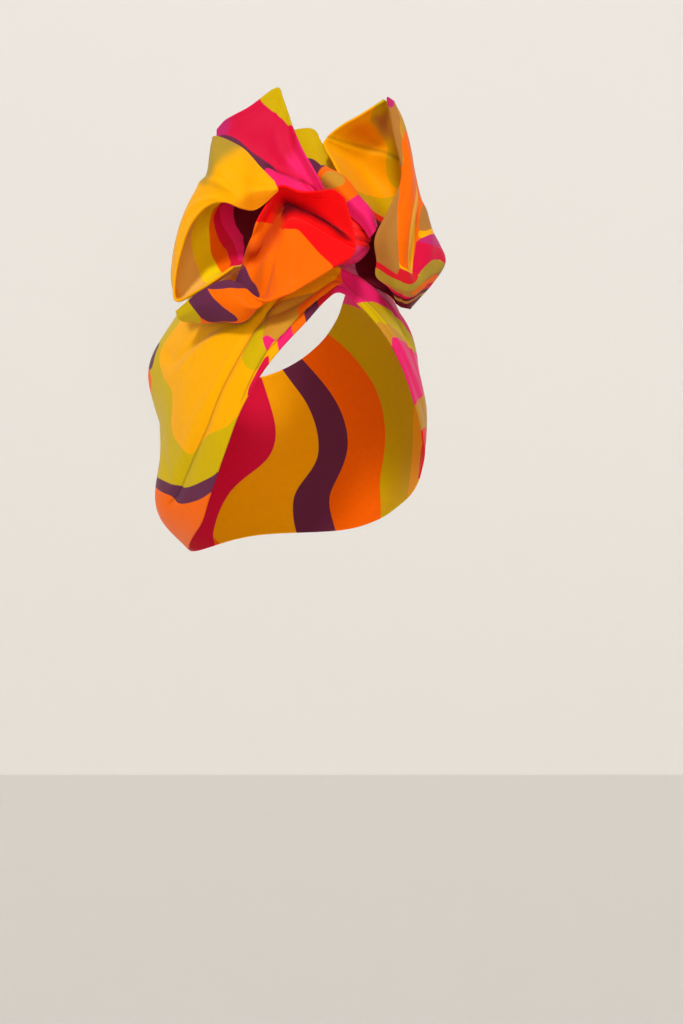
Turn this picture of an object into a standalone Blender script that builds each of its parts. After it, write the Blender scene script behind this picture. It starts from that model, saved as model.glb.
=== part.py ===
"""A pre-tied bandana headband in its worn form: a wide cloth band and the ruffled bow on its front.

The origin is the centre of the head that the band fits, +Z is up and the wearer looks along -Y, so the
wearer's right hand is at -X. Every piece is one closed cloth wall. Sizes in the tables are millimetres.
"""
import math

import bmesh
import bpy
from mathutils import Vector

MM = 0.001

# The head that the cloth is shaped on: an ellipsoid above, and a longer one below, down to the nape
HEAD_HALF_WIDTH = 76.0
HEAD_HALF_LENGTH = 96.0
HEAD_HEIGHT_ABOVE = 97.0
HEAD_HEIGHT_BELOW = 136.0

# The cloth
CLOTH_THICKNESS = 2.0

# The band is a ring about an axis that leans back by this much from upright
BAND_LEAN = 39.2
BAND_STATIONS = 60
BAND_CELLS_WIDE = 10

# The band's edges: angle round from the knot (minus is the wearer's right), how far the face edge and the
# crown edge lie along the ring's axis, and how far the cloth stands off the head
BAND_SECTIONS = (
    # angle, face edge, crown edge, stand off
    (-180, -30, 74, 2.0),
    (-138, -53, 73, 2.0),
    (-104, -61, 72, 2.0),
    (-84, -57, 71, 2.0),
    (-59, -46, 69, 2.0),
    (-40, -32, 62, 3.0),
    (-28, -22, 57, 3.5),
    (-16, -11, 51, 4.0),
    (-8, 0, 48, 3.0),
    (-3, 5, 46, 2.5),
    (1, 0, 46, 2.0),
    (5, -9, 48, 1.5),
    (10, -20, 50, 1.0),
    (18, -35, 54, 0.0),
    (25, -44, 58, -1.0),
    (37, -52, 63, -1.0),
    (59, -59, 69, 0.0),
    (84, -62, 71, 1.0),
    (104, -60, 72, 2.0),
    (138, -53, 73, 2.0),
)

# Where the cloth is pushed out, by the ears or by its own fullness, or drawn in: angle round from the knot,
# level along the ring's axis, how far out, and how wide in degrees and in millimetres
BAND_PUFFS = (
    # angle, level, height, spread round, spread along
    (-92, 40, 7.5, 24, 18),
    (-126, -31, 12.5, 26, 21),
    (122, -34, 8.0, 26, 24),
    (34, 27, 2.0, 10, 12),
    (44, -12, -2.0, 14, 22),
    (12, 48, 4.0, 9, 9),
)

# Folds of the band, which all run into the knot: how far across the width each one starts at the knot and
# ends at the side (0 is the face edge, 1 the crown edge), how high it stands and how wide it is
BAND_FOLDS = (
    # start, end, height, width
    (0.10, 0.16, 2.0, 0.07),
    (0.45, 0.40, 2.5, 0.08),
    (0.75, 0.72, 2.0, 0.07),
)
FOLD_FADE = 75.0

# The bow stands in a frame of its own, turned to the wearer's right about the knot. Its points are
# (across, toward, up): across runs to the wearer's left, toward runs away from the head
BOW_TURN = 28.0
KNOT = Vector((0.0, -62.0, 90.0))

# Ribs of each piece of the bow. A rib is one row and its points are the named columns
SIDE_LOOP_RIBS = (
    # rim, wall, back, inner, root
    ((-28.6, 15.6, 22.2), (-28.6, 15.6, 24), (-29, 15, 25.6), (-29.5, 14, 27.3), (-30, 13, 29)),
    ((-38, 20, 13), (-38, 20, 18), (-38, 18, 23), (-37, 15, 28), (-37, 12, 33)),
    ((-45, 24, 12.5), (-46, 23, 21), (-46, 19, 30), (-46, 14, 37), (-47, 8, 43)),
    ((-53, 22, 15.5), (-56.5, 20, 25), (-59.5, 14, 36), (-60.5, 8, 43), (-60.5, 3, 48)),
    ((-63, 17, 14), (-68, 8, 24), (-65, -5, 30), (-59, -15, 34), (-49, -19, 33)),
    ((-72, 14, 6), (-77, 0, 14), (-70, -15, 22), (-55, -20, 25), (-31, -18, 27)),
    ((-78, 12, -7), (-83, -3, -1), (-72, -17, 9), (-52, -16, 14), (-18, -14.5, 16)),
    ((-81, 12, -20), (-84, -2, -16), (-70, -14, -3), (-48, -11, 7), (-10, -10, 7)),
    ((-80, 13, -28), (-77, 2, -24), (-63, -6, -11), (-45, -6, 3), (-7.6, -7, 5)),
    ((-66, 21, -23), (-62, 9, -19), (-53, 0, -10), (-40, -3, 1), (-12.5, -3, 2)),
    ((-51, 15, -12), (-47, 7, -10), (-43, 3, -7), (-35, 1, -3), (-12.5, 1, -1)),
)
TOP_PETAL_RIBS = (
    # lip, valley, face, rim
    ((-7, -4.5, 9.5), (-5, -6, 10.7), (-3, -7, 12), (-1, -7.5, 12.5)),
    ((-11, 3, 21), (-12, 0, 21), (-11, -1, 24), (-8, 3, 28)),
    ((-20, 4, 24.5), (-21, -1, 26), (-18, -5, 34), (-17, -3, 44)),
    ((-28, 6.5, 23.5), (-30, -5, 30), (-27, -8, 43), (-23, -8, 58)),
    ((-33, 6.5, 28), (-34, -6, 33), (-31, -9.5, 49), (-27, -10, 70)),
    ((-37, 6, 31), (-38, -7, 36), (-35.5, -11, 54), (-30.5, -11, 75)),
    ((-45, 3, 38), (-47, -8, 41), (-47, -12, 52), (-44, -12, 67)),
    ((-53, -3, 45), (-55, -9, 46), (-57, -12, 53), (-56, -12, 61)),
    ((-57, -6, 47), (-59, -9, 49), (-61, -11, 52), (-61, -12, 56)),
)
BACK_PETAL_RIBS = (
    # root, face, rim
    ((-1, -11, 5), (-19, -22, 40), (-28, -28, 60)),
    ((2, -11.5, 4.5), (-14, -26, 41), (-20, -33, 63)),
    ((5, -11.5, 4.5), (-8, -27, 40), (-13, -34, 63)),
    ((8, -11, 4.5), (-4, -26, 39), (-9, -33, 57)),
    ((11, -10, 5), (2.5, -21, 32), (-1, -25, 43)),
)
FINGER_RIBS = (
    # low edge, front, top edge, back
    ((-9, -9, 30), (-10, -7, 35), (-8, -9, 39), (-6, -14, 38)),
    ((-1, 0, 21), (0, 5, 26), (3, 1, 31), (4, -5, 31)),
    ((6, 6, 13.2), (8, 10, 17), (11, 6, 21), (12, 0, 21)),
    ((12, 8.4, 7.6), (14, 12, 11), (16, 9, 15), (17, 3, 15)),
    ((16, 8.5, 2), (18, 11, 4), (19, 8, 7), (19.5, 3, 8)),
)
POUCH_RIBS = (
    # top, recess, ridge, face, belly, rim
    ((-73, 10, -34), (-74.5, 10, -35.5), (-76, 11.5, -36.7), (-77.5, 13.5, -37.2), (-79, 16, -36), (-80, 17, -33)),
    ((-57, 10, -27.5), (-59.5, 11, -32), (-62.5, 14.5, -36.5), (-66, 20, -38), (-67, 27, -32), (-66, 28, -25)),
    ((-49, 15, -17), (-50, 16, -25), (-52.5, 20, -34), (-56, 25, -38), (-57, 31, -29), (-55, 29, -20)),
    ((-43, 18, -3), (-43, 17, -12), (-41.5, 19, -24), (-44, 28, -38), (-46, 35, -31), (-46, 31, -21)),
    ((-38, 22, 7), (-37, 16, -3), (-34, 24, -10), (-34, 28, -24), (-37, 36.5, -32.5), (-38, 37, -27.5)),
    ((-34, 18, 15), (-31, 11, 7), (-28, 20, 0), (-28, 27, -10), (-31, 34, -25), (-32, 39, -30)),
    ((-28, 12, 23), (-25, 0, 17), (-24, 15, 10), (-22, 24, -1), (-22, 34, -15), (-22, 40, -27)),
    ((-18, 10, 23), (-18, 0, 15), (-16, 14, 9), (-16, 22, 1), (-16, 31, -12), (-15, 38, -23)),
    ((-8, 12, 23), (-9, 4, 11.5), (-8, 15, 5), (-8, 21, 0), (-8, 28, -9), (-7, 34, -18)),
    ((-2, 14, 23), (-1, 13, 8), (0, 19, 1), (0, 24, -2), (0, 29, -8), (-1, 32, -14)),
    ((3, 18, 19), (7.5, 24, 4), (8.5, 27, -2.5), (8.5, 29, -5.5), (7.5, 31, -8.5), (5, 32, -11)),
)
RIGHT_LOOP_RIBS = (
    # back hem, back, ridge, valley, face, front hem
    ((23.5, -15, 71), (25, -17, 71), (27, -15.5, 70), (28, -13, 69), (26.5, -11, 69.5), (24.5, -10, 70.5)),
    ((9, -19, 64), (22, -27, 62), (31, -20, 62), (32, -12, 61), (30, -8, 61), (26, -7, 62)),
    ((-8, -22, 54), (14, -35, 50), (35, -26, 50), (36, -12, 50), (33, -5, 50), (28, -2, 50)),
    ((-3, -14, 41), (18, -36, 38), (38, -26, 38), (39, -10, 37), (36, 1, 36), (31, 4, 36)),
    ((5.5, -8, 27), (24, -30, 25), (42, -22, 25), (41, -6, 24), (36, 9, 24), (30, 9, 26)),
    ((16, -6, 13), (30, -26, 12), (48, -20, 12), (41, 0, 14), (34, 15, 13), (24, 14, 13)),
    ((13.7, -8, 1), (32, -25, 0), (53, -14, 2), (41, 4, 2), (31, 20, 1), (18, 15, 1)),
    ((13, -6, -9), (34, -22, -10), (56, -11, -7), (40, 7, -9), (30, 20, -9), (19, 13, -9)),
    ((17, -6, -16), (35, -18, -18), (50, -9, -17), (41, 8, -18), (31, 17, -18), (19, 11, -16)),
    ((27, -8, -23), (34, -13, -25), (42.5, -6, -25), (39, 6, -25.5), (33, 12, -25), (26, 12, -22)),
    ((31, -5, -28), (34, -8, -29.5), (37, -3, -30.5), (36.5, 2, -31), (34.5, 6, -30.5), (31, 6, -29)),
)

# The sheets of the bow: their ribs, how many cells they get along and over, and their colour
BOW_SHEETS = (
    # name, ribs, cells along, cells over, colour
    ("front_pouch", POUCH_RIBS, 26, 16, (1.0, 0.15, 0.02)),
    ("left_side_loop", SIDE_LOOP_RIBS, 26, 14, (1.0, 0.45, 0.0)),
    ("left_top_petal", TOP_PETAL_RIBS, 20, 12, (0.75, 0.02, 0.1)),
    ("back_petal", BACK_PETAL_RIBS, 8, 8, (0.55, 0.5, 0.0)),
    ("finger_fold", FINGER_RIBS, 12, 8, (0.8, 0.1, 0.2)),
    ("right_loop", RIGHT_LOOP_RIBS, 26, 18, (1.0, 0.3, 0.05)),
)
BAND_COLOUR = (1.0, 0.45, 0.0)
KNOT_COLOUR = (0.9, 0.02, 0.03)
CLOTH_ROUGHNESS = 0.6

# The knot, a gathered barrel with rounded coils round its middle
KNOT_CENTRE = (4, 0, 2.5)
KNOT_HALF_SIZES = (13.0, 10.0, 12.0)
KNOT_CELLS_ROUND = 24
KNOT_CELLS_HIGH = 22
KNOT_COILS = 4
KNOT_COIL_DEPTH = 0.8


def spline(points, at):
    """Point at `at` (0 to 1) on the smooth curve through evenly spaced points"""
    last = len(points) - 1
    place = min(max(at, 0.0), 1.0) * last
    i = min(int(place), last - 1)
    t = place - i
    p1 = points[i]
    p2 = points[i + 1]
    p0 = points[i - 1] if i > 0 else p1 * 2 - p2
    p3 = points[i + 2] if i < last - 1 else p2 * 2 - p1
    return 0.5 * (p1 * 2 + (p2 - p0) * t + (p0 * 2 - p1 * 5 + p2 * 4 - p3) * t * t
                  + (p1 * 3 - p0 - p2 * 3 + p3) * t * t * t)


def bow_to_world(point):
    """World point, in millimetres, of (across, toward, up) in the bow's frame"""
    across, toward, up = point
    turn = math.radians(BOW_TURN)
    x = across * math.cos(turn) - toward * math.sin(turn)
    y = -across * math.sin(turn) - toward * math.cos(turn)
    return KNOT + Vector((x, y, up))


def sheet_point(ribs, along, over):
    """Point of a lofted sheet, `along` from rib to rib and `over` from column to column"""
    columns = list(zip(*ribs))
    rib = [spline([Vector(p) for p in column], along) for column in columns]
    return spline(rib, over)


def new_object(name, bm, colour):
    """Mesh object of a bmesh, with a material of its own"""
    mesh = bpy.data.meshes.new(name)
    bm.to_mesh(mesh)
    bm.free()
    mesh.shade_smooth()
    piece = bpy.data.objects.new(name, mesh)
    bpy.context.scene.collection.objects.link(piece)
    material = bpy.data.materials.new(name)
    material.use_nodes = True
    shader = material.node_tree.nodes["Principled BSDF"]
    shader.inputs["Base Color"].default_value = (*colour, 1.0)
    shader.inputs["Roughness"].default_value = CLOTH_ROUGHNESS
    shader.inputs["Metallic"].default_value = 0.0
    mesh.materials.append(material)
    return piece


def thicken(piece):
    """Give a sheet its cloth thickness, half to each side"""
    wall = piece.modifiers.new("cloth", "SOLIDIFY")
    wall.thickness = CLOTH_THICKNESS * MM
    wall.offset = 0.0
    return piece


def bow_sheet(name, ribs, cells_along, cells_over, colour):
    """One piece of the bow, a sheet lofted through its ribs"""
    bm = bmesh.new()
    bmesh.ops.create_grid(bm, x_segments=cells_along, y_segments=cells_over, size=0.5)
    for vertex in bm.verts:
        place = sheet_point(ribs, vertex.co.x + 0.5, vertex.co.y + 0.5)
        vertex.co = bow_to_world(place) * MM
    return thicken(new_object(name, bm, colour))


def band_edges(angle):
    """Face edge, crown edge and stand off of the band at an angle round it"""
    rows = [tuple(row) for row in BAND_SECTIONS]
    rows = [(rows[-1][0] - 360, *rows[-1][1:])] + rows + [(row[0] + 360, *row[1:]) for row in rows[:3]]
    i = max(k for k in range(1, len(rows) - 2) if rows[k][0] <= angle)
    t = (angle - rows[i][0]) / (rows[i + 1][0] - rows[i][0])
    values = []
    for column in (1, 2, 3):
        p0, p1, p2, p3 = (rows[i + k][column] for k in (-1, 0, 1, 2))
        a0, a1, a2, a3 = (rows[i + k][0] for k in (-1, 0, 1, 2))
        m1 = (p2 - p0) / (a2 - a0) * (a2 - a1)
        m2 = (p3 - p1) / (a3 - a1) * (a2 - a1)
        h = t * t * (3 - 2 * t)
        values.append(p1 * (1 - h) + p2 * h + m1 * t * (1 - t) ** 2 - m2 * t * t * (1 - t))
    return values


def head_reach(foot, out):
    """How far it is from a point inside the head to its surface, in the direction `out`"""
    for half_height in (HEAD_HEIGHT_ABOVE, HEAD_HEIGHT_BELOW):
        size = Vector((HEAD_HALF_WIDTH, HEAD_HALF_LENGTH, half_height))
        o = Vector([foot[k] / size[k] for k in range(3)])
        d = Vector([out[k] / size[k] for k in range(3)])
        root = math.sqrt(max(o.dot(d) ** 2 - d.dot(d) * (o.dot(o) - 1.0), 0.0))
        reach = (root - o.dot(d)) / d.dot(d)
        if (foot + out * reach).z > 0.0:
            break
    return reach


def band_point(angle, across):
    """World point of the band's middle surface, in millimetres"""
    face_edge, crown_edge, stand_off = band_edges(angle)
    level = face_edge + (crown_edge - face_edge) * across
    lean = math.radians(BAND_LEAN)
    axis = Vector((0.0, math.sin(lean), math.cos(lean)))
    to_knot = Vector((0.0, -math.cos(lean), math.sin(lean)))
    turn = math.radians(angle)
    out = to_knot * math.cos(turn) + Vector((math.sin(turn), 0.0, 0.0))
    foot = axis * level
    reach = head_reach(foot, out)
    puff = 0.0
    for middle, height_at, height, round_spread, along_spread in BAND_PUFFS:
        beside = (angle - middle + 180.0) % 360.0 - 180.0
        spread = (beside / round_spread) ** 2 + ((level - height_at) / along_spread) ** 2
        puff += height * math.exp(-spread)
    away = min(abs(angle) / FOLD_FADE, 1.0)
    folds = 0.0
    for start, end, height, width in BAND_FOLDS:
        middle = start + (end - start) * away
        folds += height * (1.0 - away) * math.exp(-((across - middle) / width) ** 2)
    return foot + out * (reach + stand_off + puff + folds)


def head_band():
    """The wide band, a closed ring of cloth"""
    bm = bmesh.new()
    bmesh.ops.create_grid(bm, x_segments=BAND_STATIONS, y_segments=BAND_CELLS_WIDE, size=0.5)
    for vertex in bm.verts:
        angle = vertex.co.x * 360.0
        if vertex.co.x > 0.5 - 0.25 / BAND_STATIONS:
            angle = -180.0
        vertex.co = band_point(angle, vertex.co.y + 0.5) * MM
    bmesh.ops.remove_doubles(bm, verts=bm.verts[:], dist=1e-6)
    return thicken(new_object("head_band", bm, BAND_COLOUR))


def twist_knot():
    """The gathered knot, a barrel turned with a rounded coil at each turn of the cloth"""
    bm = bmesh.new()
    bmesh.ops.create_uvsphere(bm, u_segments=KNOT_CELLS_ROUND, v_segments=KNOT_CELLS_HIGH, radius=1.0)
    for vertex in bm.verts:
        x, y, z = vertex.co
        coil = KNOT_COIL_DEPTH * math.cos(z * math.pi * KNOT_COILS)
        half_across, half_deep, half_high = KNOT_HALF_SIZES
        place = Vector((x * (half_across - coil), y * (half_deep - coil), z * half_high))
        place += Vector(KNOT_CENTRE)
        vertex.co = bow_to_world(place) * MM
    # The bow frame is left-handed, which turns a solid inside out
    bmesh.ops.reverse_faces(bm, faces=bm.faces[:])
    return new_object("twist_knot", bm, KNOT_COLOUR)


def build():
    """Clear the scene and model every piece"""
    for old in list(bpy.data.objects):
        bpy.data.objects.remove(old, do_unlink=True)
    head_band()
    twist_knot()
    for sheet in BOW_SHEETS:
        bow_sheet(*sheet)


build()
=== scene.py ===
# %% [markdown]
# # A bandana headband with a knotted bow
# The headband is shown as it is worn. A wide band of printed cloth goes round the head, and a long doubled
# strip of the same cloth is wrapped at the front into a knot with ruffled loops. We dress the plain solids of
# the part with finer cloth: real thin walls, hems, creases and gathers, and a print of curved colour areas.
# We work in metres in the part's own frame. The tables are in millimetres, because cloth is cut in them.

import math

import bmesh
import bpy
import numpy as np
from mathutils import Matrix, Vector


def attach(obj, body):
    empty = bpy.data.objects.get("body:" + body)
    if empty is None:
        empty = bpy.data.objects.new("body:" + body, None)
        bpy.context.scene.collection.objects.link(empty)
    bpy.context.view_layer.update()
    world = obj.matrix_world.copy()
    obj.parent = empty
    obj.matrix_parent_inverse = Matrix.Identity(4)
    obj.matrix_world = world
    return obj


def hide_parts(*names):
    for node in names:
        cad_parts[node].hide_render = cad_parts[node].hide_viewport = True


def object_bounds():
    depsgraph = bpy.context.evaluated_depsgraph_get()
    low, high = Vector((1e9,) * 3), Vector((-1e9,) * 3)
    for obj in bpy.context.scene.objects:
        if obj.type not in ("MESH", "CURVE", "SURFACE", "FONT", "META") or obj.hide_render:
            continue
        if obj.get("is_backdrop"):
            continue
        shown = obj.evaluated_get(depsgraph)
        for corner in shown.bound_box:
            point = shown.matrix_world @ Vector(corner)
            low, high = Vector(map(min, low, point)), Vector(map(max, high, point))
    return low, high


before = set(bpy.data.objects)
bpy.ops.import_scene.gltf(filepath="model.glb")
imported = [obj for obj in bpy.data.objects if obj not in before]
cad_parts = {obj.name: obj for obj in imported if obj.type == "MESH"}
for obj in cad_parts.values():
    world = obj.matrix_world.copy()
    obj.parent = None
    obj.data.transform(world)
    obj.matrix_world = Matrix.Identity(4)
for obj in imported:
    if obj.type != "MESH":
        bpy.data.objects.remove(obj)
cad_low, cad_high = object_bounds()
print("the plain part is", [round((b - a) * 1000) for a, b in zip(cad_low, cad_high)], "mm")

# %% [markdown]
# ## The camera
# The photograph looks slightly down at the wearer's right side of the bow. The camera comes first, so that
# every later cell can be checked in the same view.

# %% Camera
MM = 0.001
CAMERA_PLACE = Vector((-0.1651, -0.3766, 0.038))
CAMERA_TILT_DOWN = 13.8
CAMERA_TURN = -28.0
CAMERA_LENS = 23.06
SENSOR_WIDTH = 36.0
CLIP_START = 0.01


def in_scene(name, data):
    """An object that holds this data, linked to the scene"""
    made = bpy.data.objects.new(name, data)
    bpy.context.scene.collection.objects.link(made)
    return made


camera = in_scene("camera", bpy.data.cameras.new("camera"))
camera.data.sensor_width = SENSOR_WIDTH
camera.data.lens = CAMERA_LENS
camera.data.clip_start = CLIP_START
camera.location = CAMERA_PLACE
camera.rotation_euler = (math.radians(90.0 - CAMERA_TILT_DOWN), 0.0, math.radians(CAMERA_TURN))
bpy.context.scene.camera = camera
print("camera", [round(v, 3) for v in camera.location], "lens", camera.data.lens, "mm")

# %% [markdown]
# ## Smooth curves from few points
# A ruffle is a smooth surface through a handful of ribs. We could draw it with curve objects, but a small
# table of points and a Catmull-Rom spline is easier to read and to change. The spline is written as weights:
# each place on the curve is a mix of the four points near it.

# %% Spline weights
def spline_weights(count, at):
    """Weights of `count` evenly spaced points at each place of `at` (0 to 1), one row a place"""
    at = np.clip(np.asarray(at, float), 0.0, 1.0) * (count - 1)
    first = np.minimum(at.astype(int), count - 2)
    t = (at - first)[:, None]
    mix = 0.5 * np.hstack([
        -t + 2 * t**2 - t**3,
        2 - 5 * t**2 + 3 * t**3,
        t + 4 * t**2 - 3 * t**3,
        -t**2 + t**3,
    ])
    weights = np.zeros((len(at), count))
    rows = np.arange(len(at))
    for k in range(4):
        point = first + k - 1
        inside = (point >= 0) & (point < count)
        weights[rows[inside], point[inside]] += mix[inside, k]
        # A point past an end carries the line of the last two on
        low = point < 0
        weights[rows[low], 0] += 2 * mix[low, k]
        weights[rows[low], 1] -= mix[low, k]
        high = point >= count
        weights[rows[high], count - 1] += 2 * mix[high, k]
        weights[rows[high], count - 2] -= mix[high, k]
    return weights


def curve_places(points, steps):
    """`steps` places along the smooth curve through the points"""
    points = np.asarray(points, float)
    return spline_weights(len(points), np.linspace(0.0, 1.0, steps)) @ points


print("middle of a curve through 0, 1, 4:", curve_places([[0], [1], [4]], 3)[1])

# %% [markdown]
# ## The bow's own frame
# The bow is turned towards the wearer's right. Its tables use (across, toward, up) about the knot: across
# runs to the wearer's left and toward comes out of the bow. One function takes them to the part's frame.

# %% Bow frame
BOW_TURN = math.radians(28.0)
KNOT = np.array([0.0, -62.0, 90.0])
BOW_AXES = np.array([
    [math.cos(BOW_TURN), -math.sin(BOW_TURN), 0.0],
    [-math.sin(BOW_TURN), -math.cos(BOW_TURN), 0.0],
    [0.0, 0.0, 1.0],
])


def bow_to_world(places):
    """Millimetres in the part's frame from (across, toward, up) rows"""
    return KNOT + np.asarray(places, float) @ BOW_AXES


def ribbed(ribs):
    """A surface function of (along, over) that is lofted through the ribs"""
    table = np.array(ribs, float)

    def surface(along, over):
        near = spline_weights(table.shape[0], along)
        side = spline_weights(table.shape[1], over)
        return bow_to_world(np.einsum("ij,jkc,ik->ic", near, table, side))
    return surface


print("the bow faces", [round(float(v), 2) for v in BOW_AXES[1]])

# %% [markdown]
# ## Distances on the cloth
# Both the print and the creases are curves drawn on flat cloth. Each is a short list of points in the sheet's
# own directions, `along` and `over`, from 0 to 1. We smooth the curve and measure how far every vertex is
# from it in millimetres. A colour edge is then where that distance changes sign, so it stays crisp on a
# coarse mesh, and a crease is a dent that fades with the distance.

# %% Distance inside an outline
CURVE_STEPS = 8
FAR_AWAY = 1e9
TINY = 1e-12


def distance_inside(points, places, size):
    """Millimetres from each place to the smooth closed outline: plus inside it, minus outside"""
    drawn = np.array(points, float)
    ring = np.vstack([drawn[-1:], drawn, drawn[:2]])
    weights = spline_weights(len(ring), np.linspace(0.0, 1.0, (len(ring) - 1) * CURVE_STEPS + 1))
    smooth = (weights @ ring)[CURVE_STEPS:-CURVE_STEPS] * size
    nearest = np.full(len(places), FAR_AWAY)
    crossings = np.zeros(len(places), int)
    x, y = (places * size).T
    for (ax, ay), (dx, dy) in zip(smooth[:-1], np.diff(smooth, axis=0)):
        t = np.clip(((x - ax) * dx + (y - ay) * dy) / max(dx * dx + dy * dy, TINY), 0.0, 1.0)
        nearest = np.minimum(nearest, np.hypot(x - ax - t * dx, y - ay - t * dy))
        crosses = (ay > y) != (ay + dy > y)
        crossings += crosses & (x < ax + (y - ay) / (dy if dy else TINY) * dx)
    return np.where(crossings % 2 == 1, nearest, -nearest)


square = ((0.2, 0.2), (0.8, 0.2), (0.8, 0.8), (0.2, 0.8))
print("middle of a square patch", distance_inside(square, np.array([[0.5, 0.5]]), (100, 100)).round(1), "mm")

# %% Distance from a fold line
FOLD_TAPER = 5.0


def distance_across(points, places, size):
    """Signed millimetres across a fold line, and how much of it is there: 1 beside it, 0 past its ends"""
    smooth = curve_places(points, (len(points) - 1) * CURVE_STEPS + 1) * size
    x, y = (places * size).T
    nearest = np.full(len(places), FAR_AWAY)
    across, beyond = np.zeros(len(places)), np.zeros(len(places))
    steps = np.diff(smooth, axis=0)
    for number, ((ax, ay), (dx, dy)) in enumerate(zip(smooth[:-1], steps)):
        length = max(math.hypot(dx, dy), TINY)
        t = ((x - ax) * dx + (y - ay) * dy) / length
        side = ((x - ax) * dy - (y - ay) * dx) / length
        over = np.where(t < 0, -t, np.maximum(t - length, 0.0))
        far = np.hypot(side, over)
        closer = far < nearest
        nearest = np.where(closer, far, nearest)
        across = np.where(closer, side, across)
        is_end = (number == 0) & (t < 0) | (number == len(steps) - 1) & (t > length)
        beyond = np.where(closer, np.where(is_end, over, 0.0), beyond)
    return across, np.exp(-((beyond / FOLD_TAPER) ** 2))


beside = distance_across(((0.2, 0.5), (0.8, 0.5)), np.array([[0.5, 0.4]]), (100, 100))
print("beside a fold", [v.round(1) for v in beside])

# %% [markdown]
# ## The cloth's colours
# The cloth looks like a smooth printed polyester with a soft sheen. The print has flat areas of warm
# colours with crisp curved edges. A few colours here are painted shade and painted light rather than print.
# We keep the palette in one place, as the eye reads it, and turn it into the linear values that the shader
# wants.

# %% Palette
PALETTE = {
    # name: red, green, blue from 0 to 255
    "amber": (255, 176, 0),
    "orange": (255, 108, 0),
    "lime": (212, 178, 4),
    # A lime painted lighter, as painted light on cloth that lies in shade
    "painted_light_lime": (250, 224, 10),
    # An amber painted darker, as painted shade
    "gold": (240, 140, 4),
    # An ochre painted lighter, as painted light on cloth that lies in shade
    "painted_light_ochre": (246, 194, 84),
    "olive": (184, 148, 44),
    "ochre": (208, 146, 40),
    "tan": (184, 122, 52),
    "crimson": (222, 20, 66),
    "pink": (244, 36, 112),
    "magenta": (200, 42, 112),
    "rose": (248, 66, 144),
    "red": (252, 12, 16),
    "scarlet": (226, 30, 44),
    "aubergine": (104, 44, 74),
    # A darker orange and a near black red, painted shade for the pouch's groove and recess
    "rust": (196, 62, 6),
    "wine": (98, 0, 14),
    "maroon": (104, 14, 34),
}


def linear(name):
    """Linear red, green, blue and alpha of a palette colour, by the standard sRGB curve"""
    parts = [v / 255 for v in PALETTE[name]]
    return [v / 12.92 if v <= 0.04045 else ((v + 0.055) / 1.055) ** 2.4 for v in parts] + [1.0]


print("amber is", [round(v, 3) for v in linear("amber")])

# %% [markdown]
# ## The cloth's finish
# A Principled shader gives the satin look: medium roughness, a little sheen for the fibres that stand up at
# the silhouette, and a bump that adds faint ribs and the soft unevenness of pressed cloth. The print is a
# chain of Mix nodes, one for each colour area, and each is switched by the distance kept on the mesh. Some
# of these areas are painted shade and painted highlights, and the pressed lines are painted darker as shade.
# A few helpers make the nodes, because every finish here is built from the same kinds.

# %% Node helpers
def set_inputs(tree, node, values):
    """Set a node's inputs to numbers or colours, or join them to other nodes' outputs"""
    for name, value in values.items():
        if isinstance(value, bpy.types.NodeSocket):
            tree.links.new(value, node.inputs[name])
        else:
            node.inputs[name].default_value = value


def add_node(tree, kind, inputs, **settings):
    """A shader node with its settings and its inputs"""
    node = tree.nodes.new(kind)
    for name, value in settings.items():
        setattr(node, name, value)
    set_inputs(tree, node, inputs)
    return node


def maths(tree, operation, *values):
    """The output of a Math node on sockets or numbers"""
    return add_node(tree, "ShaderNodeMath", dict(enumerate(values)), operation=operation).outputs[0]


def mixed(tree, factor, first, second):
    """The output of a Mix node between two colours"""
    inputs = {"Factor": factor, "A": first, "B": second}
    return add_node(tree, "ShaderNodeMix", inputs, data_type="RGBA").outputs["Result"]


def noise(tree, place, scale):
    """The output of a Noise texture"""
    return add_node(tree, "ShaderNodeTexNoise", {"Vector": place, "Scale": scale}).outputs["Fac"]


def bump(tree, height, strength, depth, normal=None):
    """A normal that follows a height, with its depth in metres, laid over another normal if one is given"""
    inputs = {"Height": height, "Strength": strength, "Distance": depth}
    if normal is not None:
        inputs["Normal"] = normal
    return add_node(tree, "ShaderNodeBump", inputs).outputs["Normal"]


def kept_value(tree, name):
    """The value that the mesh keeps under a name"""
    return add_node(tree, "ShaderNodeAttribute", {}, attribute_name=name).outputs["Fac"]


def new_material(name):
    """A material, its node tree and its Principled shader"""
    material = bpy.data.materials.new(name)
    material.use_nodes = True
    return material, material.node_tree, material.node_tree.nodes["Principled BSDF"]


print("materials before the cloth's:", len(bpy.data.materials))

# %% Print on the cloth
EDGE_BLUR = 0.22
SHADED_BLUR = 3.0


def print_colours(tree, base, patches):
    """The print with its painted shade and light: a base colour with each patch laid over it where its
    distance is above zero
    """
    colour = add_node(tree, "ShaderNodeRGB", {}).outputs[0]
    colour.default_value = linear(base)
    for number, (name, _) in enumerate(patches):
        # A soft patch has a wide blurred edge; most of them are painted shade or a painted highlight
        blur = SHADED_BLUR if name.startswith("soft ") else EDGE_BLUR
        edge = {"Value": kept_value(tree, f"patch_{number}"), "From Min": -blur, "From Max": blur}
        inside = add_node(tree, "ShaderNodeMapRange", edge, interpolation_type="SMOOTHSTEP").outputs[0]
        colour = mixed(tree, inside, colour, linear(name.removeprefix("soft ")))
    return colour


print("a colour edge blurs over", 2 * EDGE_BLUR, "mm and a soft one over", 2 * SHADED_BLUR, "mm")

# %% Pressed lines
PRESS_WIDTH = 1.1
PRESS_STRENGTH = 0.8
PRESS_DEPTH = 0.4 * PRESS_WIDTH * MM


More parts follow.
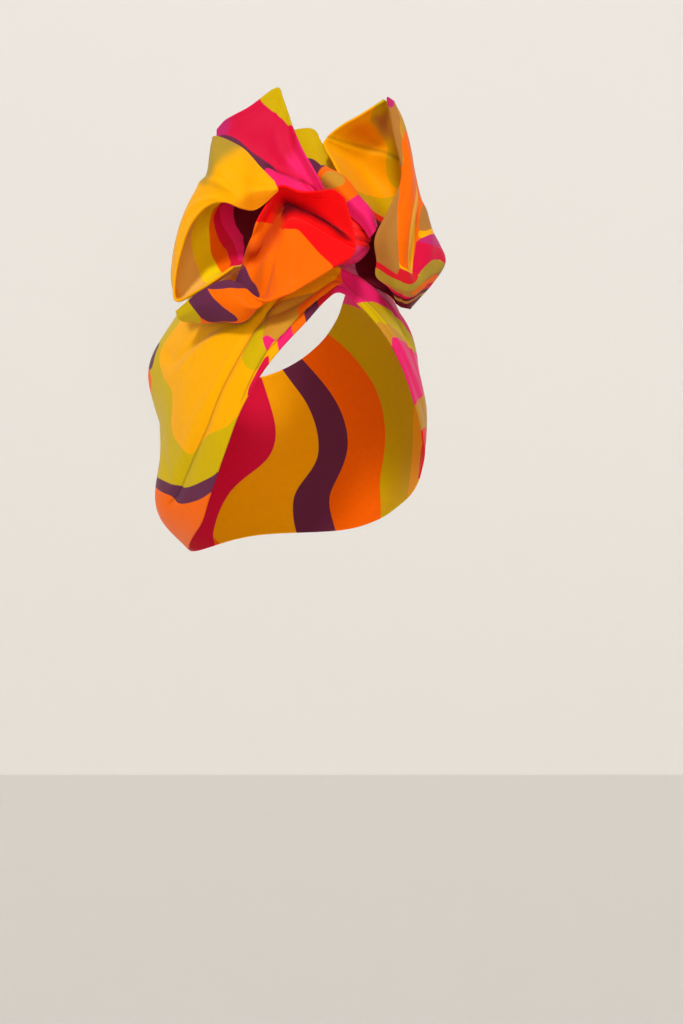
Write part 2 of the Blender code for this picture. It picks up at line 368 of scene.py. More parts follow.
def pressed_depths(tree, count):
    """For each pressed line a value that is 1 in its middle and 0 on open cloth"""
    depths = []
    for number in range(count):
        across = maths(tree, "ABSOLUTE", kept_value(tree, f"across_{number}"))
        away = maths(tree, "MINIMUM", maths(tree, "DIVIDE", across, PRESS_WIDTH), 1.0)
        near = maths(tree, "SUBTRACT", 1.0, away)
        depths.append(maths(tree, "MULTIPLY", near, kept_value(tree, f"fade_{number}")))
    return depths


def pressed_lines(tree, depths, normal):
    """Sharp folds pressed into the cloth, laid over a normal"""
    for depth in depths:
        normal = bump(tree, maths(tree, "MULTIPLY", depth, -1.0), PRESS_STRENGTH, PRESS_DEPTH, normal)
    return normal


print("a pressed line is", 2 * PRESS_WIDTH, "mm wide")

# %% Ribs, unevenness and seams
# Each bump is a strength and a depth in metres
RIB_SCALE = 130.0
RIB_DISTORTION = 0.3
RIB_BUMP = (0.12, 0.00006)
UNEVEN_SCALE = 55.0
UNEVEN_BUMP = (0.25, 0.0016)
HEM_WIDTH = 2.6
SEAM_HALF_WIDTH = 0.5
SEAM_BUMP = (0.35, 0.0004)
RADIANS_AT_SCALE_1 = 20.0


def cloth_bump(tree, uv):
    """The cloth's faint ribs, its soft unevenness and the seam beside each hem, as a normal"""
    ribs = []
    for direction in ("X", "Y"):
        inputs = {"Vector": uv, "Scale": RIB_SCALE, "Distortion": RIB_DISTORTION}
        wave = add_node(tree, "ShaderNodeTexWave", inputs, wave_type="BANDS", bands_direction=direction)
        ribs.append(wave.outputs["Fac"])
    normal = bump(tree, maths(tree, "ADD", *ribs), *RIB_BUMP)
    normal = bump(tree, noise(tree, uv, UNEVEN_SCALE), *UNEVEN_BUMP, normal)
    off_seam = maths(tree, "ABSOLUTE", maths(tree, "SUBTRACT", kept_value(tree, "hem"), HEM_WIDTH))
    return bump(tree, maths(tree, "MINIMUM", off_seam, SEAM_HALF_WIDTH), *SEAM_BUMP, normal)


print("the ribs repeat every", round(2000 * math.pi / (RADIANS_AT_SCALE_1 * RIB_SCALE), 1), "mm")

# %% Cloth material
ROUGHNESS = 0.5
SHEEN = 0.08
SHEEN_ROUGHNESS = 0.4
SPECULAR = 0.10
REFRACTION = 1.3
WORN_SCALE = 240.0
WORN_DARKEST = 0.93
WORN_LIGHTEST = 1.04
# How much darker a pressed line is painted in its middle, as painted shade
PRESS_SHADE = 0.34


def cloth_material(name, base, patches, pressed):
    """The printed cloth of one piece, with its number of pressed lines, each painted darker as shade in the
    crease
    """
    material, tree, shader = new_material(name)
    uv = add_node(tree, "ShaderNodeUVMap", {}, uv_map="cloth").outputs["UV"]
    worn = {"Value": noise(tree, uv, WORN_SCALE), "To Min": WORN_DARKEST, "To Max": WORN_LIGHTEST}
    value = add_node(tree, "ShaderNodeMapRange", worn).outputs[0]
    depths = pressed_depths(tree, pressed)
    # Each pressed line is painted darker along its middle: painted shade in the crease
    for depth in depths:
        lit = maths(tree, "SUBTRACT", 1.0, maths(tree, "MULTIPLY", depth, PRESS_SHADE))
        value = maths(tree, "MULTIPLY", value, lit)
    colour = print_colours(tree, base, patches)
    tone = add_node(tree, "ShaderNodeHueSaturation", {"Value": value, "Color": colour})
    set_inputs(tree, shader, {
        "Base Color": tone.outputs["Color"],
        "Normal": pressed_lines(tree, depths, cloth_bump(tree, uv)),
        "Roughness": ROUGHNESS,
        "Sheen Weight": SHEEN,
        "Sheen Roughness": SHEEN_ROUGHNESS,
        "Specular IOR Level": SPECULAR,
        "IOR": REFRACTION,
    })
    return material


print("the cloth has a roughness of", ROUGHNESS, "and a sheen of", SHEEN)

# %% [markdown]
# ## From a surface to a piece of cloth
# Every sheet is made the same way. We start from a flat bmesh grid, because cloth starts flat too, and move
# its vertices onto the surface. The grid's own place becomes the UV map in real metres, so the ribs have
# one size on every piece. Folds push vertices along their normals. Solidify then gives the doubled cloth its
# thickness, a little more at the hems, and one subdivision rounds the turned edges.
#
# A fold is drawn as a line with a kind. A dent sinks and a ridge rises softly, a press is a dent with a
# pressed line in it, and a ledge is where one layer lies over another: its right-hand side is raised.

# %% Relief
LEDGE_EDGE = 0.35
FULLY_RISEN = 30
WAVE_HEIGHT = 0.3
WAVES = (
    # millimetres for one radian along and over, phase
    (9.1, 14.3, 0.0),
    (5.7, -8.9, 1.3),
    (math.inf, 6.1, 2.1),
)


def fold_relief(folds, places, size):
    """Millimetres out of the surface at each place, and the pressed lines as (across, fade) pairs"""
    relief, pressed = np.zeros(len(places)), []
    for kind, height, width, points in folds:
        across, fade = distance_across(points, places, size)
        if kind == "ledge":
            rise = 1 / (1 + np.exp(-np.clip(across / LEDGE_EDGE, -FULLY_RISEN, FULLY_RISEN)))
            relief += height * fade * rise * np.exp(-np.maximum(across, 0.0) / width)
        else:
            relief += height * fade * np.exp(-((across / width) ** 2))
        if kind in ("press", "ledge"):
            pressed.append((across, fade))
    return relief, pressed


def soft_waves(places, size):
    """A gentle unevenness, from three crossing waves that don't repeat together"""
    x, y = (places * size).T
    return WAVE_HEIGHT * sum(np.sin(x / a + y / b + phase) for a, b, phase in WAVES) / len(WAVES)


print("waves at three places", soft_waves(np.array([[0, 0], [0.5, 0.5], [1, 1]]), (100, 60)).round(2))

# %% Values kept on the cloth
SIZE_STEPS = 40


def sheet_size(surface):
    """Mean length along and over a surface, in millimetres"""
    steps = np.linspace(0.0, 1.0, SIZE_STEPS)
    along, over = (g.ravel() for g in np.meshgrid(steps, steps, indexing="ij"))
    places = surface(along, over).reshape(SIZE_STEPS, SIZE_STEPS, 3)
    return np.array([np.linalg.norm(np.diff(places, axis=k), axis=2).sum(axis=k).mean() for k in (0, 1)])


def cloth_values(places, size, patches, pressed, closed):
    """What the material reads at each vertex: how far it is from the hems, patches and pressed lines"""
    from_edge = np.minimum(places[:, 1], 1 - places[:, 1]) * size[1]
    if not closed:
        from_edge = np.minimum(from_edge, np.minimum(places[:, 0], 1 - places[:, 0]) * size[0])
    values = {"hem": from_edge}
    # On a closed ring a patch may run on past the seam
    turns = (-1, 0, 1) if closed else (0,)
    for number, (_, points) in enumerate(patches):
        inside = [distance_inside(points, places + (turn, 0), size) for turn in turns]
        values[f"patch_{number}"] = np.max(inside, axis=0)
    for number, (across, fade) in enumerate(pressed):
        values[f"across_{number}"], values[f"fade_{number}"] = across, fade
    return values


def keep_values(bm, values):
    """Keep each list of values on the vertices, under its name"""
    for name, numbers in values.items():
        layer = bm.verts.layers.float.new(name)
        for vertex, number in zip(bm.verts, numbers):
            vertex[layer] = float(number)


print("a sheet is measured at", SIZE_STEPS, "x", SIZE_STEPS, "places")

# %% Make a sheet
CLOTH_AT_HEM = 1.4
CLOTH_INSIDE = 0.75
SEAM_FADE = 0.05
SEAM_GAP = 1e-4


def move_onto(bm, surface, places, relief):
    """Put the grid's vertices on the surface, then out along their normals by the relief"""
    for vertex, place in zip(bm.verts, surface(*places.T)):
        vertex.co = Vector(place) * MM
    bm.normal_update()
    for vertex, out in zip(bm.verts, relief):
        vertex.co += vertex.normal * (float(out) * MM)


def dress(name, bm, size, material):
    """Turn the bmesh into an object with its thickness, finish and place in the frame"""
    mesh = bpy.data.meshes.new(name + "_cloth")
    bm.to_mesh(mesh)
    bm.free()
    mesh.shade_smooth()
    mesh.materials.append(material)
    piece = in_scene(name + "_cloth", mesh)
    edge = piece.vertex_groups.new(name="edge")
    for vertex, value in zip(mesh.vertices, mesh.attributes["hem"].data):
        edge.add([vertex.index], min(max(1.0 - value.value / HEM_WIDTH, 0.0), 1.0), "REPLACE")
    wall = piece.modifiers.new("doubled cloth", "SOLIDIFY")
    wall.thickness = CLOTH_AT_HEM * MM
    wall.offset = 0.0
    wall.vertex_group = "edge"
    wall.thickness_vertex_group = CLOTH_INSIDE
    round_off = piece.modifiers.new("rounded hem", "SUBSURF")
    round_off.levels = 1
    round_off.render_levels = 1
    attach(piece, "root")
    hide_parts(name)
    area = sum(face.area for face in mesh.polygons)
    print(name, len(mesh.vertices), "vertices,", size.round(), "mm,", round(area * 1e4), "cm2")
    return piece


def make_sheet(name, surface, cells, base, patches, folds=(), spread=None, closed=False):
    """A finished piece of cloth that replaces the node with its name"""
    size = sheet_size(surface)
    bm = bmesh.new()
    bmesh.ops.create_grid(bm, x_segments=cells[0], y_segments=cells[1], size=0.5)
    places = np.array([(v.co.x + 0.5, v.co.y + 0.5) for v in bm.verts])
    if spread:
        places[:, 0] = spread(places[:, 0])
    relief, pressed = fold_relief(folds, places, size)
    relief += soft_waves(places, size)
    if closed:
        relief *= np.clip(np.minimum(places[:, 0], 1 - places[:, 0]) / SEAM_FADE, 0.0, 1.0)
    move_onto(bm, surface, places, relief)
    keep_values(bm, cloth_values(places, size, patches, pressed, closed))
    bm.verts.index_update()
    uv_layer = bm.loops.layers.uv.new("cloth")
    for face in bm.faces:
        for loop in face.loops:
            loop[uv_layer].uv = places[loop.vert.index] * size * MM
    if closed:
        bmesh.ops.remove_doubles(bm, verts=bm.verts[:], dist=SEAM_GAP)
    return dress(name, bm, size, cloth_material(name + "_print", base, patches, len(pressed)))


print("the cloth is", CLOTH_AT_HEM, "mm at a hem and", round(CLOTH_AT_HEM * CLOTH_INSIDE, 2), "mm inside")

# %% [markdown]
# ## The wide band
# The band is a ring of cloth that leans back, high in front and low behind. Its edges are given by angle
# round the ring. It lies on an ellipsoid with a longer lower half, and stands off it a little more where the
# cloth is full. Long folds run from its sides into the knot.

# %% Band tables
HEAD_HALF_SIZES = ((76.0, 96.0, 97.0), (76.0, 96.0, 136.0))
BAND_LEAN = math.radians(39.2)
BAND_SECTIONS = (
    # angle, face edge, crown edge, stand off
    (-180, -30, 74, 2.0),
    (-138, -53, 73, 2.0),
    (-104, -61, 72, 2.0),
    (-84, -57, 71, 2.0),
    (-59, -46, 69, 2.0),
    (-40, -32, 62, 3.0),
    (-28, -22, 57, 3.5),
    (-16, -11, 51, 4.0),
    (-8, 0, 48, 3.0),
    (-3, 5, 46, 2.5),
    (1, 0, 46, 2.0),
    (5, -9, 48, 1.5),
    (10, -20, 50, 1.0),
    (18, -35, 54, 0.0),
    (25, -44, 58, -1.0),
    (37, -52, 63, -1.0),
    (59, -59, 69, 0.0),
    (84, -62, 71, 1.0),
    (104, -60, 72, 2.0),
    (138, -53, 73, 2.0),
)
BAND_PUFFS = (
    # angle, level, height, spread round, spread along
    (-92, 40, 7.5, 24, 18),
    (-126, -31, 12.5, 26, 21),
    (122, -34, 8.0, 26, 24),
    (34, 27, 2.0, 10, 12),
    (44, -12, -2.0, 14, 22),
    (12, 48, 4.0, 9, 9),
)
BAND_FOLDS = (
    # start, end, height, width
    (0.10, 0.16, 2.0, 0.07),
    (0.45, 0.40, 2.5, 0.08),
    (0.75, 0.72, 2.0, 0.07),
)
FOLD_FADE = 75.0
print(len(BAND_SECTIONS), "sections round the band")

# %% Band surface
def band_edges(angles):
    """Face edge, crown edge and stand off at each angle, on a smooth curve through the sections"""
    table = np.array(BAND_SECTIONS, float)
    before, after = table[-1:].copy(), table[:3].copy()
    before[:, 0] -= 360
    after[:, 0] += 360
    table = np.vstack([before, table, after])
    i = np.clip(np.searchsorted(table[:, 0], angles, side="right") - 1, 1, len(table) - 3)
    a = [table[i + k, 0] for k in (-1, 0, 1, 2)]
    t = (angles - a[1]) / (a[2] - a[1])
    values = []
    for column in (1, 2, 3):
        p = [table[i + k, column] for k in (-1, 0, 1, 2)]
        m1 = (p[2] - p[0]) / (a[2] - a[0]) * (a[2] - a[1])
        m2 = (p[3] - p[1]) / (a[3] - a[1]) * (a[2] - a[1])
        h = t * t * (3 - 2 * t)
        values.append(p[1] * (1 - h) + p[2] * h + m1 * t * (1 - t) ** 2 - m2 * t * t * (1 - t))
    return values


def head_reach(foot, out):
    """How far it is from points inside the head to its surface, in the directions `out`"""
    found = []
    for half_sizes in HEAD_HALF_SIZES:
        o, d = foot / half_sizes, out / half_sizes
        od, dd, oo = (o * d).sum(1), (d * d).sum(1), (o * o).sum(1)
        found.append((np.sqrt(np.maximum(od**2 - dd * (oo - 1.0), 0.0)) - od) / dd)
    above = (foot + out * found[0][:, None])[:, 2] > 0.0
    return np.where(above, found[0], found[1])


def band_surface(along, over):
    """Middle of the band's cloth, once round from the nape and across from the face edge"""
    angle = np.asarray(along) * 360.0 - 180.0
    face_edge, crown_edge, stand_off = band_edges(np.where(angle >= 180.0, -180.0, angle))
    level = face_edge + (crown_edge - face_edge) * over
    axis = np.array([0.0, math.sin(BAND_LEAN), math.cos(BAND_LEAN)])
    to_knot = np.array([0.0, -math.cos(BAND_LEAN), math.sin(BAND_LEAN)])
    turn = np.radians(angle)[:, None]
    out = to_knot * np.cos(turn) + np.array([1.0, 0.0, 0.0]) * np.sin(turn)
    foot = level[:, None] * axis
    away = np.minimum(np.abs(angle) / FOLD_FADE, 1.0)
    lift = stand_off
    for middle, height_at, height, round_spread, along_spread in BAND_PUFFS:
        across = ((angle - middle + 180.0) % 360.0 - 180.0) / round_spread
        lift = lift + height * np.exp(-(across**2) - ((level - height_at) / along_spread) ** 2)
    for start, end, height, width in BAND_FOLDS:
        middle = start + (end - start) * away
        lift = lift + height * (1.0 - away) * np.exp(-(((over - middle) / width) ** 2))
    return foot + out * (head_reach(foot, out) + lift)[:, None]


print("the band is", [round(float(v)) for v in sheet_size(band_surface)], "mm round and wide")

# %% [markdown]
# ### The band's folds and print
# The crease that shows most is where the lower edge of the band is turned up: it runs from the knot down
# the wearer's right side. Others fan out of the knot. The print here is an amber field with lime, ochre and
# aubergine areas on the wearer's right, and pinks with a lime area on the left. A soft darker crimson
# beside a crease among the pinks is painted shade. The back, which the photograph doesn't show, carries
# the same kind of areas.

# %% Band folds and print
BAND_FOLD_LINES = (
    # kind, height, width, points as (along, over)
    ("press", -1.9, 2.4, ((0.206, 0.158), (0.224, 0.154), (0.254, 0.161), (0.296, 0.156), (0.331, 0.151),
        (0.365, 0.170), (0.390, 0.195), (0.415, 0.25), (0.44, 0.33))),
    ("ridge", 0.9, 3.6, ((0.225, 0.21), (0.27, 0.22), (0.32, 0.22), (0.365, 0.21), (0.39, 0.24))),
    ("dent", -1.2, 3.0, ((0.300, 0.64), (0.315, 0.55), (0.345, 0.51), (0.375, 0.46), (0.40, 0.38))),
    ("ridge", 1.2, 3.5, ((0.295, 0.55), (0.32, 0.49), (0.355, 0.45), (0.385, 0.39), (0.405, 0.32))),
    ("dent", -1.0, 2.6, ((0.355, 0.66), (0.375, 0.56), (0.40, 0.44), (0.42, 0.36))),
    ("press", -1.1, 2.2, ((0.528, 0.80), (0.531, 0.62), (0.537, 0.50), (0.552, 0.40), (0.580, 0.26),
        (0.61, 0.16))),
    ("ridge", 0.9, 3.0, ((0.545, 0.66), (0.565, 0.50), (0.60, 0.36))),
    ("dent", -0.9, 2.2, ((0.515, 0.10), (0.545, 0.075), (0.58, 0.07), (0.63, 0.08))),
    ("dent", -1.1, 2.4, ((0.425, 0.27), (0.450, 0.20), (0.466, 0.17), (0.484, 0.17), (0.497, 0.25))),
    ("press", -0.9, 1.6, ((0.390, 0.030), (0.408, 0.052), (0.421, 0.066), (0.429, 0.062), (0.438, 0.061),
        (0.446, 0.067), (0.453, 0.076), (0.463, 0.073), (0.473, 0.058), (0.483, 0.055), (0.493, 0.072))),
    ("dent", -1.2, 2.4, ((0.49, 0.52), (0.50, 0.36), (0.505, 0.20), (0.505, 0.05))),
    ("dent", -1.3, 4.0, ((0.19, 0.62), (0.21, 0.50), (0.225, 0.38), (0.225, 0.24))),
)
BAND_PRINT = (
    # colour, outline as (along, over)
    ("lime", ((0.20, 0.95), (0.345, 0.90), (0.335, 0.75), (0.313, 0.728), (0.292, 0.714), (0.282, 0.674),
        (0.282, 0.579), (0.292, 0.476), (0.285, 0.412), (0.271, 0.374), (0.267, 0.313), (0.276, 0.236),
        (0.284, 0.175), (0.308, 0.149), (0.329, 0.115), (0.353, 0.046), (0.39, -0.08), (0.28, -0.10),
        (0.18, 0.30), (0.16, 0.60))),
    ("aubergine", ((0.260, 0.82), (0.284, 0.765), (0.277, 0.742), (0.263, 0.703), (0.247, 0.720),
        (0.215, 0.76), (0.22, 0.83))),
    ("orange", ((0.205, 0.75), (0.246, 0.742), (0.251, 0.70), (0.249, 0.672), (0.225, 0.66), (0.20, 0.69))),
    ("orange", ((0.06, -0.10), (0.34, -0.10), (0.270, 0.036), (0.236, 0.100), (0.217, 0.190), (0.176, 0.325),
        (0.13, 0.375), (0.08, 0.20))),
    ("aubergine", ((0.14, 0.42), (0.178, 0.345), (0.204, 0.275), (0.215, 0.236), (0.234, 0.165),
        (0.237, 0.145), (0.256, 0.103), (0.282, 0.054), (0.311, 0.00), (0.36, -0.08), (0.32, -0.08),
        (0.280, 0.00), (0.258, 0.036), (0.236, 0.077), (0.215, 0.12), (0.209, 0.153), (0.210, 0.174),
        (0.202, 0.211), (0.188, 0.265), (0.173, 0.305), (0.14, 0.35))),
    ("lime", ((0.428, 0.262), (0.424, 0.252), (0.413, 0.234), (0.404, 0.210), (0.399, 0.180), (0.398, 0.139),
        (0.400, 0.094), (0.407, 0.044), (0.419, 0.050), (0.421, 0.107), (0.422, 0.163), (0.427, 0.221),
        (0.431, 0.262))),
    ("ochre", ((0.427, 0.29), (0.435, 0.31), (0.452, 0.27), (0.470, 0.18), (0.492, 0.06), (0.492, -0.08),
        (0.43, -0.06), (0.421, 0.12), (0.425, 0.22))),
    ("pink", ((0.4215, 0.175), (0.4235, 0.148), (0.426, 0.118), (0.428, 0.090), (0.430, 0.068),
        (0.427, 0.064), (0.4235, 0.064), (0.420, 0.067), (0.4196, 0.10), (0.420, 0.14))),
    ("orange", ((0.452, 0.076), (0.452, 0.114), (0.458, 0.155), (0.468, 0.160), (0.480, 0.150),
        (0.492, 0.220), (0.503, 0.45), (0.507, 0.36), (0.497, 0.10), (0.491, 0.049), (0.475, 0.051),
        (0.459, 0.078))),
    ("amber", ((0.416, -0.10), (0.4165, 0.050), (0.421, 0.066), (0.4305, 0.062), (0.4315, -0.10))),
    ("pink", ((0.4315, -0.10), (0.4305, 0.060), (0.438, 0.061), (0.4445, 0.064), (0.4455, -0.10))),
    ("orange", ((0.4455, -0.10), (0.4445, 0.064), (0.450, 0.072), (0.457, 0.077), (0.458, -0.10))),
    ("aubergine", ((0.458, -0.10), (0.457, 0.077), (0.463, 0.073), (0.4705, 0.061), (0.4715, -0.10))),
    ("scarlet", ((0.4715, -0.10), (0.4705, 0.061), (0.478, 0.056), (0.486, 0.056), (0.494, 0.09),
        (0.496, -0.10))),
    ("crimson", ((0.388, -0.05), (0.393, 0.015), (0.404, 0.030), (0.413, 0.044), (0.419, 0.044),
        (0.420, 0.02), (0.412, -0.05))),
    ("pink", ((0.500, -0.10), (0.500, 0.20), (0.503, 0.60), (0.508, 1.10), (0.70, 1.10), (0.64, 0.50),
        (0.65, 0.20), (0.72, -0.10))),
    ("rose", ((0.512, 1.10), (0.510, 0.70), (0.518, 0.54), (0.532, 0.60), (0.556, 0.705), (0.580, 0.722),
        (0.597, 0.66), (0.592, 0.46), (0.600, 0.30), (0.66, 0.50), (0.70, 1.10))),
    # Painted shade: a soft darker crimson beside the pressed crease among the pinks
    ("soft crimson", ((0.516, 0.44), (0.531, 0.50), (0.552, 0.605), (0.571, 0.637), (0.592, 0.60),
        (0.600, 0.66), (0.580, 0.715), (0.556, 0.70), (0.532, 0.595), (0.518, 0.52))),
    ("lime", ((0.502, -0.10), (0.505, 0.00), (0.510, 0.081), (0.522, 0.267), (0.535, 0.347), (0.548, 0.387),
        (0.559, 0.402), (0.572, 0.404), (0.586, 0.400), (0.600, 0.370), (0.576, 0.312), (0.560, 0.277),
        (0.547, 0.245), (0.535, 0.180), (0.526, 0.089), (0.520, 0.030), (0.517, -0.10))),
    ("ochre", ((0.517, -0.10), (0.520, 0.040), (0.526, 0.089), (0.535, 0.180), (0.547, 0.245),
        (0.560, 0.277), (0.576, 0.312), (0.600, 0.370), (0.588, 0.328), (0.570, 0.292), (0.554, 0.236),
        (0.539, 0.126), (0.532, 0.050), (0.530, -0.10))),
    ("ochre", ((0.572, -0.10), (0.575, 0.020), (0.585, 0.077), (0.600, 0.150), (0.617, 0.232), (0.66, 0.27),
        (0.67, 0.10), (0.64, -0.10))),
    ("red", ((0.600, -0.10), (0.608, 0.014), (0.622, 0.055), (0.637, 0.090), (0.67, 0.13), (0.70, 0.08),
        (0.71, -0.10))),
    ("lime", ((0.70, 1.10), (0.66, 0.80), (0.67, 0.50), (0.72, 0.30), (0.76, 0.12), (0.80, -0.10),
        (0.86, -0.10), (0.84, 0.22), (0.79, 0.44), (0.77, 0.72), (0.79, 1.10))),
    ("orange", ((0.79, 1.10), (0.77, 0.72), (0.79, 0.44), (0.84, 0.22), (0.86, -0.10), (0.92, -0.10),
        (0.91, 0.24), (0.86, 0.50), (0.85, 0.78), (0.88, 1.10))),
    ("aubergine", ((0.88, 1.10), (0.85, 0.78), (0.86, 0.50), (0.91, 0.24), (0.92, -0.10), (0.955, -0.10),
        (0.95, 0.26), (0.905, 0.52), (0.895, 0.80), (0.92, 1.10))),
    ("crimson", ((0.97, 1.10), (0.95, 0.80), (0.965, 0.56), (1.02, 0.34), (1.05, 0.10), (1.06, -0.10),
        (1.13, -0.10), (1.12, 0.16), (1.08, 0.44), (1.03, 0.66), (1.02, 0.86), (1.04, 1.10))),
    ("lime", ((1.04, 1.10), (1.02, 0.86), (1.03, 0.66), (1.08, 0.44), (1.12, 0.30), (1.15, 0.42),
        (1.12, 0.66), (1.10, 0.88), (1.12, 1.10))),
)


FRONT_CROWDING = 0.45


def denser_in_front(places):
    """Crowd the grid's columns to the front of the ring, where the creases are fine"""
    return places + FRONT_CROWDING * np.sin(2 * np.pi * places) / (2 * np.pi)


print(len(BAND_FOLD_LINES), "folds and", len(BAND_PRINT), "colour areas on the band")

# %% Band
band = make_sheet("head_band", band_surface, (196, 56), "amber", BAND_PRINT, BAND_FOLD_LINES,
                  spread=denser_in_front, closed=True)

# %% [markdown]
# ## The front pouch
# The front of the bow is one wide loop that has flopped forward and folded in on itself: a red flap with a
# deep shadowed recess behind it, an orange belly, and a small curled cup at the wearer's right. A row of the
# table is a cut through the loop from its top hem, down into the recess, over the ridge and out to the rim.

# %% Front pouch
POUCH_RIBS = (
    # top, recess, ridge, face, belly, rim
    ((-73, 10, -34), (-74.5, 10, -35.5), (-76, 11.5, -36.7), (-77.5, 13.5, -37.2), (-79, 16, -36),
        (-80, 17, -33)),
    ((-57, 10, -27.5), (-59.5, 11, -32), (-62.5, 14.5, -36.5), (-66, 20, -38), (-67, 27, -32),
        (-66, 28, -25)),
    ((-49, 15, -17), (-50, 16, -25), (-52.5, 20, -34), (-56, 25, -38), (-57, 31, -29), (-55, 29, -20)),
    ((-43, 18, -3), (-43, 17, -12), (-41.5, 19, -24), (-44, 28, -38), (-46, 35, -31), (-46, 31, -21)),
    ((-38, 22, 7), (-37, 16, -3), (-34, 24, -10), (-34, 28, -24), (-37, 36.5, -32.5), (-38, 37, -27.5)),
    ((-34, 18, 15), (-31, 11, 7), (-28, 20, 0), (-28, 27, -10), (-31, 34, -25), (-32, 39, -30)),
    ((-28.3, 12, 24.6), (-25, 0, 17), (-24, 15, 10), (-22, 24, -1), (-22, 34, -15), (-22, 40, -27)),
    ((-18, 10, 23), (-18, 0, 15), (-16, 14, 9), (-16, 22, 1), (-16, 31, -12), (-15, 38, -23)),
    ((-8, 12, 23), (-9, 4, 11.5), (-8, 15, 5), (-8, 21, 0), (-8, 28, -9), (-7, 34, -18)),
    ((-2, 14, 23), (-1, 13, 8), (0, 19, 1), (0, 24, -2), (0, 29, -8), (-1, 32, -14)),
    ((3, 18, 19), (7.5, 24, 4), (8.5, 27, -2.5), (8.5, 29, -5.5), (7.5, 31, -8.5), (5, 32, -11)),
)
POUCH_PRINT = (
    # colour, outline as (along, over)
    ("red", ((0.385, -0.10), (0.410, 0.01), (0.447, 0.065), (0.492, 0.167), (0.522, 0.325), (0.560, 0.45),
        (0.602, 0.522), (0.659, 0.553), (0.709, 0.621), (0.769, 0.718), (0.826, 0.842), (0.881, 0.983),
        (0.90, 1.10), (1.10, 1.10), (1.10, -0.10))),
    ("aubergine", ((-0.10, -0.10), (0.235, -0.10), (0.250, 0.02), (0.283, 0.194), (0.302, 0.316),
        (0.341, 0.466), (0.355, 0.55), (0.30, 0.64), (0.10, 0.56), (-0.10, 0.50))),
    ("aubergine", ((0.03, 1.10), (0.063, 0.934), (0.093, 0.754), (0.115, 0.66), (0.16, 0.60), (0.27, 0.66),
        (0.276, 0.705), (0.254, 0.732), (0.223, 0.764), (0.181, 0.844), (0.144, 0.967), (0.13, 1.10))),
    ("lime", ((-0.10, 0.40), (0.06, 0.50), (0.10, 0.66), (0.093, 0.754), (0.063, 0.934), (0.045, 1.10),
        (-0.10, 1.10))),
    ("aubergine", ((0.13, 1.10), (0.144, 0.972), (0.198, 0.912), (0.255, 0.925), (0.334, 0.978),
        (0.38, 1.10))),
    # Painted shade: a soft near black red in the recess behind the flap, and a soft darker orange in the
    # groove below it
    ("soft wine", ((0.560, 0.13), (0.600, 0.10), (0.640, 0.115), (0.704, 0.110), (0.774, 0.130),
        (0.846, 0.180), (0.915, 0.250), (0.980, 0.400), (0.93, 0.400), (0.86, 0.335), (0.788, 0.305),
        (0.719, 0.295), (0.655, 0.315), (0.605, 0.350), (0.560, 0.340), (0.548, 0.24))),
    ("soft rust", ((0.555, 0.13), (0.520, 0.125), (0.470, 0.135), (0.420, 0.125), (0.360, 0.095),
        (0.290, 0.020), (0.24, 0.00), (0.28, 0.10), (0.350, 0.245), (0.420, 0.325), (0.475, 0.350),
        (0.530, 0.365), (0.560, 0.34))),
)
POUCH_FOLDS = (
    # kind, height, width, points as (along, over)
    ("ridge", 1.0, 2.2, ((0.61, 0.05), (0.55, 0.055), (0.50, 0.06), (0.44, 0.06), (0.38, 0.055),
        (0.32, 0.02))),
    ("dent", -2.8, 4.2, ((0.93, 0.345), (0.85, 0.265), (0.774, 0.225), (0.70, 0.215), (0.64, 0.225),
        (0.59, 0.235), (0.54, 0.240), (0.490, 0.240), (0.437, 0.225), (0.380, 0.185), (0.32, 0.10))),
    ("ridge", 1.5, 2.6, ((0.30, 0.16), (0.345, 0.25), (0.400, 0.32), (0.45, 0.37), (0.50, 0.39),
        (0.55, 0.40), (0.60, 0.385), (0.66, 0.370), (0.735, 0.372), (0.825, 0.395), (0.913, 0.485),
        (0.969, 0.564))),
    ("ridge", 0.8, 2.6, ((0.36, 0.50), (0.40, 0.62), (0.45, 0.74), (0.48, 0.86))),
    ("dent", -0.8, 2.6, ((0.44, 0.48), (0.50, 0.62), (0.54, 0.78), (0.56, 0.92))),
    ("dent", -0.6, 2.2, ((0.30, 0.92), (0.34, 0.86), (0.38, 0.86), (0.42, 0.92))),
)
pouch = make_sheet("front_pouch", ribbed(POUCH_RIBS), (110, 72), "orange", POUCH_PRINT, POUCH_FOLDS)

# %% [markdown]
# ## The loop at the wearer's right
# The side loop starts as an amber tongue behind the pouch, sweeps out to the side and turns back in, so we
# look into its open mouth and see striped colours inside. One lofted sheet makes both the outer wall and the
# inner one, because it is one strip of cloth.

